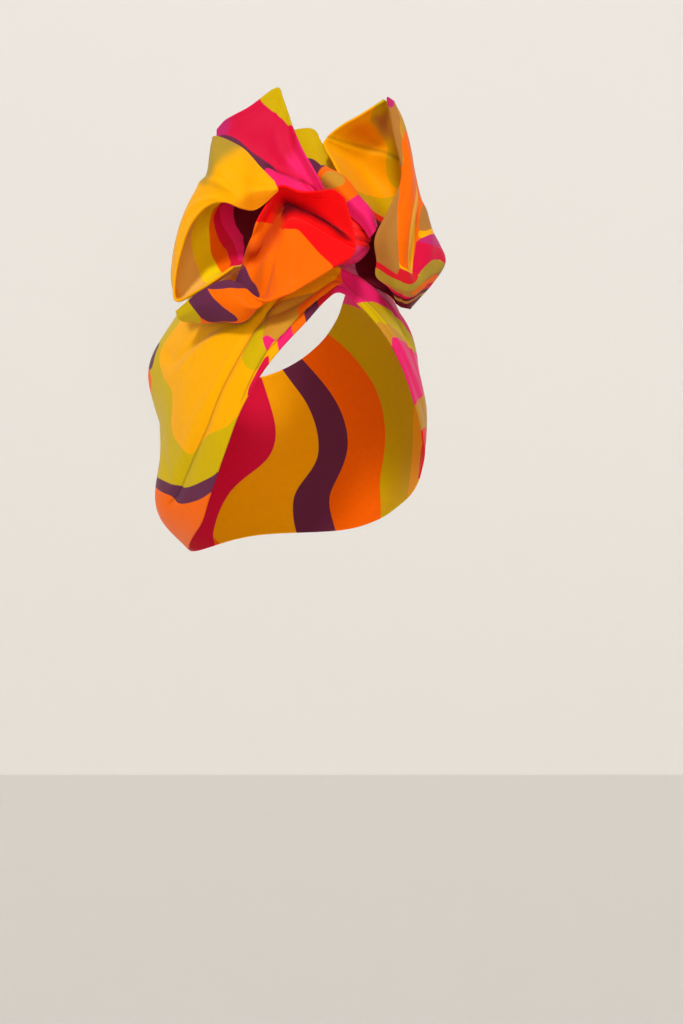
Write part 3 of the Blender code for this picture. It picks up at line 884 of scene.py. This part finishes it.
# %% Side loop
SIDE_LOOP_RIBS = (
    # rim, wall, back, inner, root
    ((-28.0, 15.8, 22.0), (-28.2, 15.7, 22.8), (-28.6, 15.4, 23.6), (-29.2, 14.8, 24.6), (-30, 14, 25.8)),
    ((-38, 20, 13), (-38, 20, 18), (-38, 18, 23), (-37, 15, 28), (-37, 12, 33)),
    ((-45, 24, 12.5), (-46, 23, 21), (-46, 19, 30), (-46, 14, 37), (-47, 8, 43)),
    ((-53, 22, 15.5), (-56.5, 20, 25), (-59.5, 14, 36), (-60.5, 8, 43), (-60.5, 3, 48)),
    ((-63, 17, 14), (-68, 8, 24), (-65, -5, 30), (-59, -15, 34), (-49, -19, 33)),
    ((-72, 14, 6), (-77, 0, 14), (-70, -15, 22), (-55, -20, 25), (-31, -18, 27)),
    ((-78, 12, -7), (-83, -3, -1), (-72, -17, 9), (-52, -16, 14), (-18, -14.5, 16)),
    ((-81, 12, -20), (-84, -2, -16), (-70, -14, -3), (-48, -11, 7), (-10, -10, 7)),
    ((-80, 13, -28), (-77, 2, -24), (-63, -6, -11), (-45, -6, 3), (-7.6, -7, 5)),
    ((-66, 21, -23), (-62, 9, -19), (-53, 0, -10), (-40, -3, 1), (-12.5, -3, 2)),
    ((-51, 15, -12), (-47, 7, -10), (-43, 3, -7), (-35, 1, -3), (-12.5, 1, -1)),
)
SIDE_LOOP_PRINT = (
    # colour, outline as (along, over); each stripe lies over the one before it
    ("soft olive", ((0.205, 1.10), (0.220, 0.80), (0.244, 0.60), (0.266, 0.47), (0.297, 0.37), (0.328, 0.29),
        (0.352, 0.25), (0.376, 0.32), (0.40, 0.60), (0.41, 1.10))),
    # Painted shade: a soft darker amber along the tongue's lower edge near its tip
    ("soft gold", ((-0.10, -0.10), (-0.10, 0.30), (0.012, 0.26), (0.050, 0.40), (0.110, 0.36), (0.190, 0.12),
        (0.26, -0.02), (0.28, -0.10))),
    # The ochre and lime stripes inside the mouth are painted lighter than the cloth's own, as painted light
    # on a wall that lies in shade
    ("painted_light_ochre", ((0.41, 1.10), (0.43, 0.62), (0.45, 0.38), (0.50, 0.27), (0.58, 0.22), (0.72, 0.225),
        (0.760, 0.205), (0.827, 0.101), (0.90, 0.10), (1.10, 0.12), (1.10, 1.10))),
    ("painted_light_lime", ((0.42, 1.10), (0.43, 0.70), (0.470, 0.54), (0.500, 0.484), (0.546, 0.436), (0.591, 0.413),
        (0.646, 0.421), (0.714, 0.432), (0.779, 0.411), (0.819, 0.380), (0.90, 0.30), (1.10, 0.20),
        (1.10, 1.10))),
    ("orange", ((0.43, 1.10), (0.44, 0.78), (0.499, 0.665), (0.529, 0.591), (0.584, 0.560), (0.647, 0.555),
        (0.717, 0.537), (0.779, 0.526), (0.844, 0.476), (0.93, 0.36), (1.10, 0.25), (1.10, 1.10))),
    ("crimson", ((0.44, 1.10), (0.45, 0.82), (0.500, 0.67), (0.550, 0.600), (0.587, 0.599), (0.642, 0.608),
        (0.705, 0.617), (0.772, 0.625), (0.846, 0.567), (0.883, 0.490), (1.00, 0.36), (1.10, 0.36),
        (1.10, 1.10))),
    ("pink", ((0.45, 1.10), (0.46, 0.84), (0.512, 0.675), (0.546, 0.645), (0.604, 0.659), (0.669, 0.675),
        (0.771, 0.676), (0.850, 0.631), (0.92, 0.54), (1.10, 0.46), (1.10, 1.10))),
    # Painted shade: the deepest part of the mouth is painted dark maroon
    ("maroon", ((0.46, 1.10), (0.48, 0.86), (0.526, 0.748), (0.600, 0.730), (0.672, 0.732), (0.759, 0.730),
        (0.856, 0.684), (0.95, 0.56), (1.10, 0.54), (1.10, 1.10))),
)
SIDE_LOOP_FOLDS = (
    # kind, height, width, points as (along, over)
    ("dent", -0.9, 2.2, ((0.34, 0.05), (0.393, 0.069), (0.426, 0.098), (0.464, 0.121), (0.501, 0.119),
        (0.542, 0.100), (0.586, 0.075))),
    ("ridge", 0.8, 5.0, ((0.06, 0.60), (0.12, 0.48), (0.18, 0.38), (0.25, 0.29), (0.32, 0.24))),
    ("dent", -1.1, 3.2, ((0.27, 0.22), (0.32, 0.26), (0.366, 0.30), (0.40, 0.36))),
    ("dent", -0.8, 3.0, ((0.55, 0.62), (0.66, 0.62), (0.78, 0.58), (0.88, 0.48))),
    ("ridge", 0.7, 2.6, ((0.52, 0.50), (0.62, 0.48), (0.74, 0.48), (0.86, 0.40))),
)
side_loop = make_sheet("left_side_loop", ribbed(SIDE_LOOP_RIBS), (110, 70), "amber",
                       SIDE_LOOP_PRINT, SIDE_LOOP_FOLDS)

# %% [markdown]
# ## The pointed petal
# Behind the loop stands a tall pointed end of the strip, hot pink with a lime corner. Its lower edge rolls
# forward into a lip that goes behind the pouch.

# %% Pointed petal
TOP_PETAL_RIBS = (
    # lip, valley, face, rim
    ((-7, -4.5, 9.5), (-5, -6, 10.7), (-3, -7, 12), (-1, -7.5, 12.5)),
    ((-11, 3, 21), (-12, 0, 21), (-11, -1, 24), (-8, 3, 28)),
    ((-20, 4, 24.5), (-21, -1, 26), (-18, -5, 34), (-17, -3, 44)),
    ((-28, 6.5, 23.5), (-30, -5, 30), (-27, -8, 43), (-23, -8, 58)),
    ((-33, 6.5, 28), (-34, -6, 33), (-31, -9.5, 49), (-27, -10, 70)),
    ((-37, 6, 31), (-38, -7, 36), (-35.5, -11, 54), (-30.5, -11, 75)),
    ((-45, 3, 38), (-47, -8, 41), (-47, -12, 52), (-44, -12, 67)),
    ((-53, -3, 45), (-55, -9, 46), (-57, -12, 53), (-56, -12, 61)),
    ((-57, -6, 47), (-59, -9, 49), (-61, -11, 52), (-61, -12, 56)),
)
TOP_PETAL_PRINT = (
    # colour, outline as (along, over)
    ("lime", ((0.36, 1.10), (0.384, 0.965), (0.420, 0.915), (0.490, 0.869), (0.560, 0.842), (0.621, 0.836),
        (0.673, 0.906), (0.705, 1.00), (0.72, 1.10))),
    ("soft magenta", ((0.86, 1.10), (0.85, 0.98), (0.848, 0.824), (0.875, 0.666), (0.94, 0.60), (1.10, 0.60),
        (1.10, 1.10))),
    # Painted highlight: a soft lighter pink on the lit face near the rim
    ("soft pink", ((0.08, 1.10), (0.16, 0.72), (0.26, 0.60), (0.34, 0.66), (0.30, 0.86), (0.28, 1.10))),
    # Painted shade: the valley behind the rolled lip is painted dark aubergine
    ("aubergine", ((0.38, 0.455), (0.50, 0.462), (0.598, 0.450), (0.686, 0.490), (0.746, 0.582),
        (0.813, 0.671), (0.92, 0.71), (1.02, 0.70), (1.02, 0.60), (0.86, 0.58), (0.76, 0.42), (0.66, 0.34),
        (0.50, 0.36), (0.42, 0.42))),
    ("pink", ((-0.10, -0.10), (-0.10, 0.80), (0.10, 0.80), (0.20, 0.56), (0.244, 0.525), (0.337, 0.478),
        (0.42, 0.445), (0.50, 0.425), (0.58, 0.39), (0.66, 0.34), (1.10, 0.40), (1.10, -0.10))),
)
TOP_PETAL_FOLDS = (
    # kind, height, width, points as (along, over)
    ("ridge", 0.9, 3.0, ((0.15, 0.75), (0.30, 0.82), (0.42, 0.92))),
    ("dent", -0.8, 3.2, ((0.18, 0.62), (0.34, 0.66), (0.50, 0.68), (0.68, 0.72))),
    ("press", -1.0, 2.0, ((0.12, 0.80), (0.244, 0.525), (0.337, 0.478), (0.42, 0.45), (0.54, 0.43))),
)
top_petal = make_sheet("left_top_petal", ribbed(TOP_PETAL_RIBS), (88, 56), "crimson",
                       TOP_PETAL_PRINT, TOP_PETAL_FOLDS)

# %% [markdown]
# ## The small petal behind and the finger fold
# Two short ends fill the gap between the loops: a lime one that stands up behind, and a narrow rolled one
# in front of it that comes down beside the knot.

# %% Small petal behind
BACK_PETAL_RIBS = (
    # root, face, rim
    ((-1, -11, 5), (-19, -22, 40), (-28, -28, 60)),
    ((2, -11.5, 4.5), (-14, -26, 41), (-20, -33, 63)),
    ((5, -11.5, 4.5), (-8, -27, 40), (-13, -34, 63)),
    ((8, -11, 4.5), (-4, -26, 39), (-9, -33, 57)),
    ((11, -10, 5), (2.5, -21, 32), (-1, -25, 43)),
)
BACK_PETAL_PRINT = (
    # colour, outline as (along, over)
    ("aubergine", ((-0.10, -0.10), (-0.10, 0.64), (0.20, 0.62), (0.36, 0.615), (0.52, 0.565), (0.75, 0.50),
        (1.10, 0.48), (1.10, -0.10))),
)
back_petal = make_sheet("back_petal", ribbed(BACK_PETAL_RIBS), (44, 60), "lime", BACK_PETAL_PRINT)

# %% Finger fold
FINGER_RIBS = (
    # low edge, front, top edge, back
    ((-9, -9, 30), (-10, -7, 35), (-8, -9, 39), (-6, -14, 38)),
    ((-1, 0, 21), (0, 5, 26), (3, 1, 31), (4, -5, 31)),
    ((6, 6, 13.2), (8, 10, 17), (11, 6, 21), (12, 0, 21)),
    ((12, 8.4, 7.6), (14, 12, 11), (16, 9, 15), (17, 3, 15)),
    ((16, 8.5, 2), (18, 11, 4), (19, 8, 7), (19.5, 3, 8)),
)
FINGER_PRINT = (
    # colour, outline as (along, over)
    ("orange", ((-0.10, -0.10), (0.37, -0.10), (0.38, -0.02), (0.411, 0.198), (0.444, 0.404), (0.456, 0.514),
        (0.47, 0.80), (0.47, 1.10), (-0.10, 1.10))),
    ("ochre", ((0.060, 0.276), (0.089, 0.492), (0.152, 0.629), (0.231, 0.646), (0.287, 0.574),
        (0.273, 0.378), (0.158, 0.167), (0.080, 0.145))),
    ("aubergine", ((-0.10, -0.10), (0.00, 0.00), (0.015, 0.35), (0.03, 0.60), (0.05, 0.90), (-0.10, 1.10))),
)
finger = make_sheet("finger_fold", ribbed(FINGER_RIBS), (56, 36), "pink", FINGER_PRINT)

# %% [markdown]
# ## The tall loop at the wearer's left
# The biggest loop stands up and opens towards the middle of the bow, so both its amber inside and its
# striped outside show. Its rows are cuts from the hem at the back, round the outer ridge, and forward to
# the hem in front.

# %% Tall loop
RIGHT_LOOP_RIBS = (
    # back hem, back, ridge, valley, face, front hem
    ((23.5, -15, 71), (25, -17, 71), (27, -15.5, 70), (28, -13, 69), (26.5, -11, 69.5), (24.5, -10, 70.5)),
    ((9, -19, 64), (22, -27, 62), (31, -20, 62), (32, -12, 61), (30, -8, 61), (26, -7, 62)),
    ((-8, -22, 54), (14, -35, 50), (35, -26, 50), (36, -12, 50), (33, -5, 50), (28, -2, 50)),
    ((-3, -14, 41), (18, -36, 38), (38, -26, 38), (39, -10, 37), (36, 1, 36), (31, 4, 36)),
    ((5.5, -8, 27), (24, -30, 25), (42, -22, 25), (41, -6, 24), (36, 9, 24), (30, 9, 26)),
    ((16, -6, 13), (30, -26, 12), (48, -20, 12), (41, 0, 14), (34, 15, 13), (24, 14, 13)),
    ((11, -11, 1), (32, -25, 0), (53, -14, 2), (41, 4, 2), (31, 20, 1), (18, 15, 1)),
    ((9, -9.5, -9), (34, -22, -10), (56, -11, -7), (40, 7, -9), (30, 20, -9), (19, 13, -9)),
    ((14, -8, -16), (35, -18, -18), (50, -9, -17), (41, 8, -18), (31, 17, -18), (19, 11, -16)),
    ((27, -8, -23), (34, -13, -25), (42.5, -6, -25), (39, 6, -25.5), (33, 12, -25), (26, 12, -22)),
    ((31, -5, -28), (34, -8, -29.5), (37, -3, -30.5), (36.5, 2, -31), (34.5, 6, -30.5), (31, 6, -29)),
)
RIGHT_LOOP_PRINT = (
    # colour, outline as (along, over)
    ("lime", ((-0.10, 0.20), (-0.06, -0.05), (0.020, -0.02), (0.045, 0.027), (0.089, 0.101), (0.104, 0.187),
        (0.141, 0.272), (0.181, 0.309), (0.237, 0.300), (0.289, 0.290), (0.335, 0.310), (0.29, 0.38),
        (0.10, 0.44), (-0.10, 0.40))),
    ("soft tan", ((0.070, 0.093), (0.056, 0.147), (0.036, 0.256), (0.087, 0.298), (0.138, 0.331),
        (0.130, 0.264), (0.098, 0.172))),
    # Painted shade: a soft darker amber beside the ledge, on the sheet that lies in its shade
    ("soft gold", ((0.150, 0.060), (0.120, 0.050), (0.105, 0.10), (0.112, 0.160), (0.145, 0.250),
        (0.165, 0.270), (0.160, 0.186), (0.158, 0.090))),
    ("lime", ((0.378, -0.10), (0.387, 0.069), (0.380, 0.148), (0.374, 0.233), (0.370, 0.290), (0.42, 0.36),
        (0.475, 0.25), (0.462, 0.164), (0.455, 0.085), (0.430, 0.050), (0.42, -0.10))),
    ("red", ((0.42, -0.10), (0.430, 0.045), (0.455, 0.085), (0.462, 0.17), (0.475, 0.25), (0.53, 0.24),
        (0.55, 0.10), (0.53, -0.10))),
    # Painted shade: the back of the loop's lower inside, which lies in deep shadow, is painted dark maroon
    ("maroon", ((0.485, -0.10), (0.49, 0.08), (0.505, 0.24), (0.60, 0.30), (0.75, 0.34), (1.10, 0.32),
        (1.10, -0.10))),
    ("tan", ((-0.10, 0.50), (0.04, 0.62), (0.10, 0.76), (0.143, 0.850), (0.206, 0.861), (0.279, 0.955),
        (0.335, 1.00), (0.35, 1.10), (-0.10, 1.10))),
    ("ochre", ((0.00, 0.58), (0.006, 0.682), (0.060, 0.76), (0.143, 0.850), (0.200, 0.858), (0.172, 0.745),
        (0.146, 0.640), (0.09, 0.56))),
    ("magenta", ((-0.10, 0.40), (-0.01, 0.58), (0.020, 0.75), (0.060, 0.90), (0.062, 0.98), (0.03, 1.10),
        (-0.10, 1.10))),
    ("orange", ((0.165, 0.64), (0.172, 0.781), (0.205, 0.860), (0.243, 0.916), (0.299, 0.975), (0.33, 1.10),
        (0.39, 1.10), (0.410, 0.985), (0.463, 0.929), (0.542, 0.870), (0.628, 0.824), (0.715, 0.809),
        (0.742, 0.740), (0.752, 0.636), (0.667, 0.585), (0.558, 0.575), (0.493, 0.536), (0.40, 0.50),
        (0.24, 0.52))),
    ("amber", ((0.287, 0.66), (0.300, 0.698), (0.346, 0.702), (0.446, 0.749), (0.513, 0.757), (0.597, 0.740),
        (0.684, 0.720), (0.744, 0.712), (0.756, 0.66), (0.744, 0.624), (0.618, 0.622), (0.531, 0.617),
        (0.458, 0.589), (0.37, 0.565), (0.31, 0.60))),
    ("tan", ((0.39, 1.10), (0.410, 0.985), (0.463, 0.929), (0.542, 0.870), (0.628, 0.824), (0.715, 0.809),
        (0.745, 0.804), (0.79, 0.83), (0.74, 0.96), (0.70, 1.10))),
    ("tan", ((0.40, 0.46), (0.444, 0.545), (0.500, 0.575), (0.545, 0.590), (0.566, 0.572), (0.540, 0.50),
        (0.486, 0.404), (0.43, 0.36))),
    ("amber", ((0.562, 0.590), (0.590, 0.592), (0.586, 0.547), (0.560, 0.480), (0.518, 0.380),
        (0.487, 0.380), (0.535, 0.49), (0.560, 0.550))),
    ("magenta", ((0.604, 0.600), (0.625, 0.560), (0.625, 0.480), (0.635, 0.400), (0.64, 0.30), (0.54, 0.30),
        (0.509, 0.380), (0.555, 0.470), (0.580, 0.545))),
    ("crimson", ((0.604, 0.605), (0.66, 0.615), (0.715, 0.625), (0.757, 0.635), (0.765, 0.600),
        (0.745, 0.575), (0.715, 0.550), (0.698, 0.520), (0.690, 0.480), (0.71, 0.44), (0.73, 0.36),
        (0.66, 0.30), (0.635, 0.400), (0.625, 0.480), (0.620, 0.555))),
    ("scarlet", ((0.69, 1.10), (0.702, 1.001), (0.727, 0.937), (0.766, 0.852), (0.774, 0.830),
        (0.745, 0.803), (0.750, 0.762), (0.763, 0.680), (0.752, 0.615), (0.800, 0.600), (0.86, 0.60),
        (1.10, 0.60), (1.10, 1.10))),
    ("olive", ((0.725, 1.10), (0.743, 0.988), (0.788, 0.887), (0.814, 0.797), (0.822, 0.715), (0.795, 0.627),
        (0.738, 0.578), (0.703, 0.543), (0.689, 0.507), (0.705, 0.440), (0.74, 0.34), (1.10, 0.30),
        (1.10, 1.10))),
    ("tan", ((0.780, 1.10), (0.805, 1.00), (0.842, 0.950), (0.866, 0.862), (0.862, 0.720), (0.846, 0.612),
        (0.808, 0.560), (0.770, 0.526), (0.752, 0.482), (0.765, 0.34), (1.10, 0.30), (1.10, 1.10))),
    ("orange", ((0.762, 0.47), (0.790, 0.53), (0.832, 0.605), (0.880, 0.70), (0.878, 0.62), (0.835, 0.527),
        (0.800, 0.460), (0.80, 0.38), (0.775, 0.38))),
    ("crimson", ((0.825, 1.10), (0.850, 0.985), (0.880, 0.940), (0.896, 0.870), (0.902, 0.720),
        (0.884, 0.600), (0.846, 0.530), (0.805, 0.490), (0.82, 0.32), (1.10, 0.30), (1.10, 1.10))),
    ("maroon", ((0.90, 1.10), (0.925, 0.90), (0.917, 0.746), (0.884, 0.582), (0.842, 0.508), (0.850, 0.32),
        (1.10, 0.30), (1.10, 1.10))),
    ("tan", ((0.93, 1.10), (0.945, 0.92), (0.935, 0.746), (0.895, 0.578), (0.865, 0.500), (0.87, 0.32),
        (1.10, 0.30), (1.10, 1.10))),
    ("maroon", ((0.96, 1.10), (0.968, 0.92), (0.955, 0.746), (0.912, 0.570), (0.885, 0.500), (0.895, 0.32),
        (1.10, 0.30), (1.10, 1.10))),
)
RIGHT_LOOP_FOLDS = (
    # kind, height, width, points as (along, over)
    ("ledge", 2.2, 14.0, ((0.185, -0.06), (0.175, 0.078), (0.170, 0.186), (0.187, 0.290), (0.215, 0.35))),
    ("dent", -1.0, 2.8, ((0.13, 0.04), (0.135, 0.14), (0.155, 0.24))),
    ("dent", -0.8, 3.2, ((0.10, 0.86), (0.25, 0.82), (0.42, 0.86), (0.60, 0.90))),
    ("ridge", 0.7, 3.4, ((0.62, 0.86), (0.72, 0.80), (0.84, 0.80), (0.94, 0.86))),
    ("ridge", 2.4, 3.8, ((0.33, 0.615), (0.45, 0.615), (0.53, 0.625), (0.62, 0.635), (0.744, 0.645))),
    ("dent", -1.6, 3.0, ((0.46, 0.51), (0.54, 0.52), (0.62, 0.54), (0.70, 0.555))),
)
tall_loop = make_sheet("right_loop", ribbed(RIGHT_LOOP_RIBS), (112, 84), "amber",
                       RIGHT_LOOP_PRINT, RIGHT_LOOP_FOLDS)

# %% [markdown]
# ## The knot
# Where the strip is wrapped round itself the cloth packs into tight rolls. It isn't a flat sheet any more,
# so we shape a ball of wadded cloth with a bmesh sphere: rounded coils one above the other with sharp
# grooves between them, and loose lumps below where the gathers come out.

# %% Knot
KNOT_CENTRE = np.array([4.0, 0.0, 2.5])
KNOT_HALF_SIZES = np.array([13.0, 10.0, 12.0])
KNOT_COILS = 5
COIL_DEPTH = 1.9
COIL_SLANT = 0.16
COIL_ROUNDNESS = 0.6
LUMPS = 7
LUMP_DEPTH = 1.4
LUMP_TWIST = 4
LUMP_ROUNDNESS = 0.7
LUMPS_BELOW = -0.15
LUMPS_BLEND = 0.3

knot_bm = bmesh.new()
bmesh.ops.create_uvsphere(knot_bm, u_segments=120, v_segments=90, radius=1.0)
for vertex in knot_bm.verts:
    x, y, z = vertex.co
    round_angle = math.atan2(y, x)
    coil = abs(math.sin((z + COIL_SLANT * x) * math.pi * KNOT_COILS / 2))
    lump = abs(math.sin(round_angle * LUMPS / 2 + LUMP_TWIST * z))
    low = min(max((LUMPS_BELOW - z) / LUMPS_BLEND, 0.0), 1.0)
    coil_dip = COIL_DEPTH * (1 - coil**COIL_ROUNDNESS)
    lump_dip = LUMP_DEPTH * (1 - lump**LUMP_ROUNDNESS)
    inward = coil_dip * (1 - low) + lump_dip * low
    at_pole = math.sqrt(max(1 - z * z, 0.0))
    place = KNOT_CENTRE + np.array([x, y, z]) * (KNOT_HALF_SIZES - np.array([inward, inward, 0.0]) * at_pole)
    vertex.co = Vector(bow_to_world(place[None])[0]) * MM
# The bow's axes are left-handed, which turned the ball inside out
bmesh.ops.reverse_faces(knot_bm, faces=knot_bm.faces[:])
knot_mesh = bpy.data.meshes.new("twist_knot_cloth")
knot_bm.to_mesh(knot_mesh)
knot_bm.free()
knot_mesh.shade_smooth()
knot = in_scene("twist_knot_cloth", knot_mesh)
print("the knot has", len(knot_mesh.vertices), "vertices and", KNOT_COILS, "coils")

# %% [markdown]
# The knot's print changes with height: red coils above, pink lumps below. Its material reads the object's
# own coordinates, because a ball has no flat directions to draw on.

# %% Knot finish
PINK_BELOW = 88.5 * MM
KNOT_GRAIN = 400.0
KNOT_BUMP = (0.3, 0.0004)

knot_material, knot_tree, knot_shader = new_material("twist_knot_print")
knot_place = add_node(knot_tree, "ShaderNodeTexCoord", {}).outputs["Object"]
knot_height = add_node(knot_tree, "ShaderNodeSeparateXYZ", {"Vector": knot_place}).outputs["Z"]
is_red = maths(knot_tree, "GREATER_THAN", knot_height, PINK_BELOW)
set_inputs(knot_tree, knot_shader, {
    "Base Color": mixed(knot_tree, is_red, linear("pink"), linear("red")),
    "Normal": bump(knot_tree, noise(knot_tree, knot_place, KNOT_GRAIN), *KNOT_BUMP),
    "Roughness": ROUGHNESS,
    "Sheen Weight": SHEEN,
})
knot_mesh.materials.append(knot_material)
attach(knot, "root")
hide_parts("twist_knot")
print("pink below", round(PINK_BELOW * 1000, 1), "mm")

# %% [markdown]
# ## The studio
# The photograph has a pale wall behind and a pale table below. Two plain planes give the same, and light
# comes back from both. The wall stands square to the view, far enough behind for a camera to pass.

# %% Wall and floor
FLOOR_LEVEL = -0.70
FLOOR_HALF_WIDTH = 3.0
WALL_DISTANCE = 0.62
WALL_HALF_WIDTH = 2.5
WALL_HEIGHT = 2.6
WALL_COLOUR = (0.755, 0.735, 0.70)
TABLE_COLOUR = (0.68, 0.66, 0.63)
GRAIN_STRENGTH = 0.3
VIEW = Vector((math.sin(BOW_TURN), math.cos(BOW_TURN), 0.0))


def plain_material(name, colour, roughness, grain, depth):
    """A matt surface with a fine even grain"""
    material, tree, shader = new_material(name)
    place = add_node(tree, "ShaderNodeTexCoord", {}).outputs["Object"]
    set_inputs(tree, shader, {
        "Base Color": (*colour, 1.0),
        "Roughness": roughness,
        "Normal": bump(tree, noise(tree, place, grain), GRAIN_STRENGTH, depth),
    })
    return material


def plane(name, corners, material):
    """A four-cornered stage plane"""
    bm = bmesh.new()
    bm.faces.new([bm.verts.new(corner) for corner in corners])
    mesh = bpy.data.meshes.new(name)
    bm.to_mesh(mesh)
    bm.free()
    mesh.materials.append(material)
    made = in_scene(name, mesh)
    made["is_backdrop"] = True
    return made


side = Vector((VIEW.y, -VIEW.x, 0.0)) * WALL_HALF_WIDTH
up = Vector((0.0, 0.0, WALL_HEIGHT))
wall_foot = VIEW * WALL_DISTANCE + Vector((0.0, 0.0, FLOOR_LEVEL))
wall_corners = [wall_foot - side, wall_foot + side, wall_foot + side + up, wall_foot - side + up]
floor_corners = [Vector((x, y, 0.0)) * FLOOR_HALF_WIDTH for x, y in ((-1, -1), (1, -1), (1, 1), (-1, 1))]
floor_corners = [corner + Vector((0.0, 0.0, FLOOR_LEVEL)) for corner in floor_corners]
wall_paint = plain_material("wall_paint", WALL_COLOUR, roughness=0.7, grain=300.0, depth=0.0002)
table_top = plain_material("table_top", TABLE_COLOUR, roughness=0.6, grain=220.0, depth=0.0004)
wall = plane("wall", wall_corners, wall_paint)
floor = plane("floor", floor_corners, table_top)
print("wall", WALL_DISTANCE, "m behind the origin, floor at", FLOOR_LEVEL, "m")

# %% [markdown]
# ## Light
# The room is bright and soft. A broad light from above and a little left of the camera shapes the folds, a
# weaker one from the front opens the shadows in the loops, and the pale surroundings do the rest. Both are
# sun lamps with a wide angle. The wall and the table get the broad light from a twin lamp without shadows,
# by light linking, because nothing carries the cloth here and its shadow would hang low on the wall.

# %% Lights
KEY_PLACE = (-0.66, -0.86, 0.95)
KEY_STRENGTH = 1.80
KEY_ANGLE = 11.0
KEY_COLOUR = (1.0, 0.965, 0.93)
FILL_PLACE = (-0.30, -0.93, -0.09)
FILL_STRENGTH = 0.65
FILL_ANGLE = 30.0
SKY_COLOUR = (1.0, 0.985, 0.96, 1.0)
SKY_STRENGTH = 0.42


def wide_sun(name, place, strength, angle, colour=(1.0, 1.0, 1.0)):
    """A sun lamp that shines from a place towards the middle, with its soft angle in degrees"""
    light = bpy.data.lights.new(name, "SUN")
    light.energy = strength
    light.angle = math.radians(angle)
    light.color = colour
    lamp = in_scene(name, light)
    lamp.location = place
    lamp.rotation_euler = (-Vector(place)).to_track_quat("-Z", "Y").to_euler()
    return lamp


def reach(lamp, things, state):
    """Let a lamp light these things alone, or all but these"""
    group = bpy.data.collections.new(lamp.name + "_reach")
    for thing in things:
        group.objects.link(thing)
    for member in group.collection_objects:
        member.light_linking.link_state = state
    lamp.light_linking.receiver_collection = group


key = wide_sun("key", KEY_PLACE, KEY_STRENGTH, KEY_ANGLE, KEY_COLOUR)
room_key = wide_sun("room_key", KEY_PLACE, KEY_STRENGTH, KEY_ANGLE, KEY_COLOUR)
room_key.data.use_shadow = False
reach(key, (wall, floor), "EXCLUDE")
reach(room_key, (wall, floor), "INCLUDE")
wide_sun("fill", FILL_PLACE, FILL_STRENGTH, FILL_ANGLE)
world = bpy.data.worlds.new("room")
world.use_nodes = True
sky = world.node_tree.nodes["Background"]
set_inputs(world.node_tree, sky, {"Color": SKY_COLOUR, "Strength": SKY_STRENGTH})
bpy.context.scene.world = world
bpy.context.scene.view_settings.view_transform = "Standard"
print("two wide lamps, a twin for the room, and a pale sky")

# %% [markdown]
# The dressed part must stay in the box of the plain one, apart from the little that cloth may stand proud.
# Both boxes are kept, and the cell prints how far the cloth stands out along each axis.

# %% Keep both boxes
visual_low, visual_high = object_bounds()
sides = zip(cad_low, cad_high, visual_low, visual_high)
growth = [round(max(c - v, w - d) * 1000, 1) for c, d, v, w in sides]
print("the cloth stands proud of the plain part by at most", growth, "mm")
